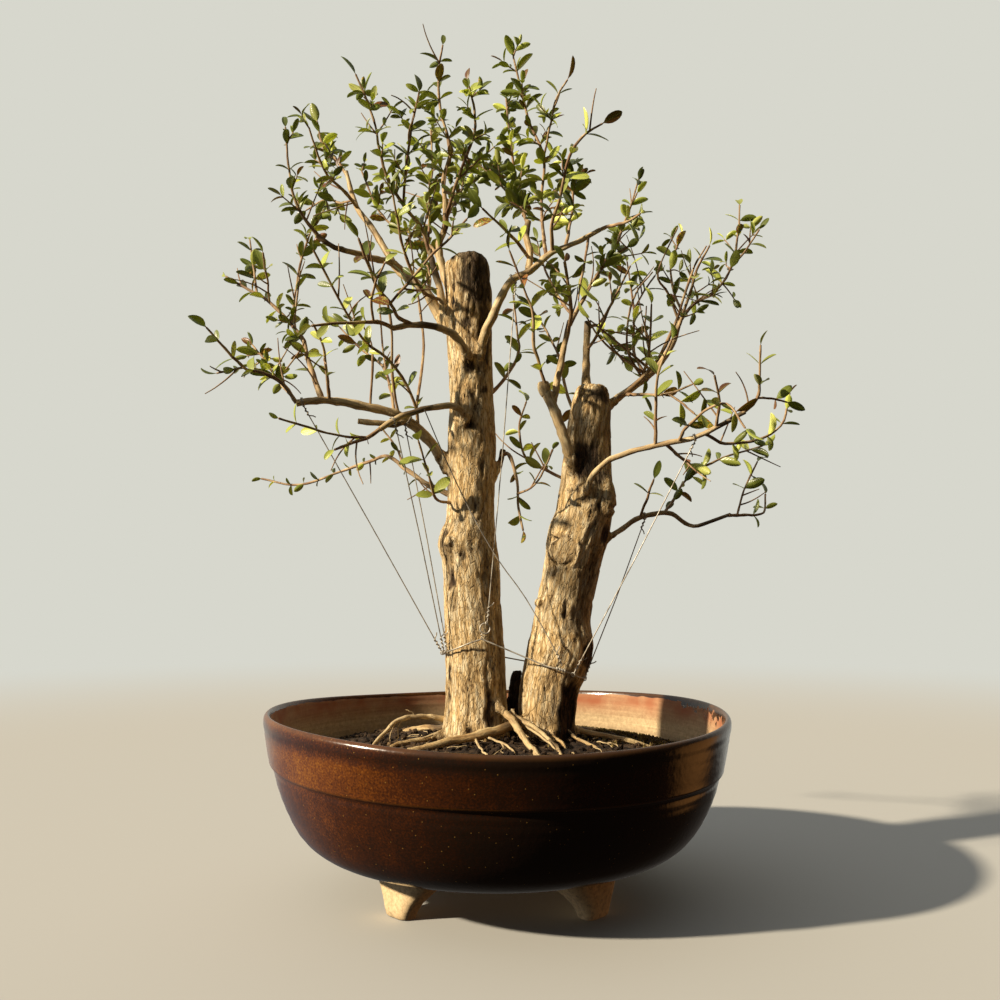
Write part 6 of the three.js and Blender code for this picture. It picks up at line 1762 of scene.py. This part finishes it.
# The belt's height in mm at angles in degrees round each trunk: 0 is its right, 270 its front.
LEFT_BELT = [[75, 196], [190, 199], [215, 200.5], [240, 204], [262, 208.5], [285, 212]]
RIGHT_BELT = [[-112, 190], [-84, 186.5], [-45, 179.5], [-24, 177.5], [0, 177.5], [105, 186]]
RING_MIDDLE = [-10.5, -30, 221]
RING_RADIUS = 4.4


def belt_place(side, angle):
    """A place on the belt, at an angle in degrees round the left or the right trunk."""
    trunk, belt = (LEFT_TRUNK, LEFT_BELT) if side == "left" else (RIGHT_TRUNK, RIGHT_BELT)
    height = np.interp(angle, *np.transpose(belt))
    x, y, radius = trunk_at(trunk, height)
    turn = math.radians(angle)
    reach = radius + OFF_BARK
    return Vector((x + reach * math.cos(turn), y + reach * math.sin(turn), height))


def wound(centre, axis, towards, radius, turns, pitch):
    """A helix round an axis, from the side that faces a place, so much onward with each turn."""
    axis = axis.normalized()
    side = square_to(towards - centre, axis)
    aside = axis.cross(side)
    return [centre + radius * (math.cos(turn) * side + math.sin(turn) * aside)
            + axis * (pitch * turn / math.tau)
            for turn in np.linspace(0, math.tau * turns, round(14 * turns) + 1)]


def tail(end, towards, turns=4):
    """A wire's tail: twisted round the wire near its end, then sticking out."""
    along = (towards - end).normalized()
    start = end + along * 2
    route = wound(start, along, start + Vector((1, 0.3, 0)), 1.7 * WIRE, turns, TAIL_PITCH)
    out = (route[-1] - (start + along * turns * TAIL_PITCH)).normalized()
    return [*route, route[-1] + 2.2 * out + 1.4 * along, route[-1] + 3.6 * out + 3.4 * along]


def as_bar(points, radius=WIRE):
    return np.array([list(point) for point in points]), np.full(len(points), radius)


# %% The belt, its ring and its knot
front = belt_place("left", 285)
route = [belt_place("left", angle) for angle in range(285, 74, -7)]
route += [belt_place("right", angle) for angle in range(105, -113, -7)]
knot = belt_place("right", -84)
middle = Vector(RING_MIDDLE)
below = middle - Vector((0, 0, RING_RADIUS + 2))
bars = [as_bar([*route, front], BELT_WIRE)]
bars.append(
    as_bar(wound(middle, Vector((0.2, -1, 0.1)), below, RING_RADIUS, 1.08, 1.1), BELT_WIRE))
bars.append(as_bar(wound(front, Vector((0, 0, 1)), front + Vector((1, 0, 0)), 0.8, 2, 2.4)))
knot_way = Vector((1, 0.1, -0.3))
for towards in (knot, knot + Vector((0, 9, 0))):
    bars.append(as_bar(wound(knot - 4 * knot_way, knot_way, towards, 1.1, 4, 2.2)))
belt = round_bars("belt", bars, 2)

# %% The guys
# A guy: [limb, place along its points, foot].
GUYS = {
    "guy_low_left": ["low_left", 6.7, belt_place("left", 190)],
    "guy_front_low": ["front_low", 4.3, belt_place("left", 203)],
    "guy_mid_left": ["low_left", 2.8, belt_place("left", 216)],
    "guy_arch": ["arch_right", 3.1, middle + Vector((2, 0, RING_RADIUS))],
    "guy_low_right": ["low_right", 5.2, belt_place("right", -60)],
    "guy_reach_right": ["reach_right", 2.1, belt_place("right", -24)],
}
# The loose wire that crosses in front of the left trunk, from a limb down to the knot.
CROSSING = [[-61, -51, 404], [-44, -43, 364], [-21.9, -35, 318], [0.5, -34, 279], [24.2, -33, 246],
            [50.6, -34, 199], [54, -33.5, 190]]


def guy_bars(limb, share, foot):
    """The bars of one guy: its straight stretch, two windings and two tails."""
    route, radii = limb_bars[limb]
    i = round(share * LIMB_STEPS)
    centre = Vector(route[i])
    along = Vector(route[i + 1]) - Vector(route[i - 1])
    loop = float(radii[i]) * 1.05 + WIRE + 0.2
    head = centre + loop * square_to(foot - centre, along.normalized())
    level = Vector((foot.y, -foot.x, 0)) if abs(foot.y) > 5 else Vector((0, 1, 0))
    end = foot + 1.6 * (head - foot).normalized()
    return [
        as_bar([end, end.lerp(head, 0.5) + Vector((0.8, 0, -0.8)), head]),
        as_bar(wound(centre - 0.5 * along.normalized(), along, foot, loop, 1.6, 1.1)),
        as_bar(wound(foot, level, head, 1.6, 1.2, 0.9)),
        as_bar(tail(head, end, 2)), as_bar(tail(end, head, 3)),
    ]


pieces = [belt]
for name, (limb, share, foot) in GUYS.items():
    bars = guy_bars(limb, share, foot)
    if name == "guy_front_low":
        bars.append(as_bar(smooth_route(CROSSING, 3)))
        bars.append(as_bar(tail(Vector(CROSSING[-1]), Vector(CROSSING[-2]), 3)))
    pieces.append(round_bars(f"wire_{name}", bars, 2))
print(len(pieces), "pieces of wire")

# %% The wire's metal
zinc, tree, shader = new_material("weathered_galvanised_wire")
place = add_node(tree, "TexCoord").outputs["Object"]
bloom = add_node(tree, "TexNoise", {"Vector": place, "Scale": per_mm(6), "Detail": 4})
grey = add_node(tree, "ValToRGB", {"Fac": bloom}, stops=[
    (0.35, "#cdc6b6"), (0.55, "#aaa08d"), (0.7, "#75695a")])
rough = add_node(tree, "MapRange", {"Value": bloom, "To Min": 0.4, "To Max": 0.6})
set_inputs(shader, {"Base Color": grey, "Roughness": rough, "Metallic": 0.45})
for piece, node in zip(pieces, ["belt_wire", *GUYS]):
    finish_piece(piece, [node], zinc, angle=60)
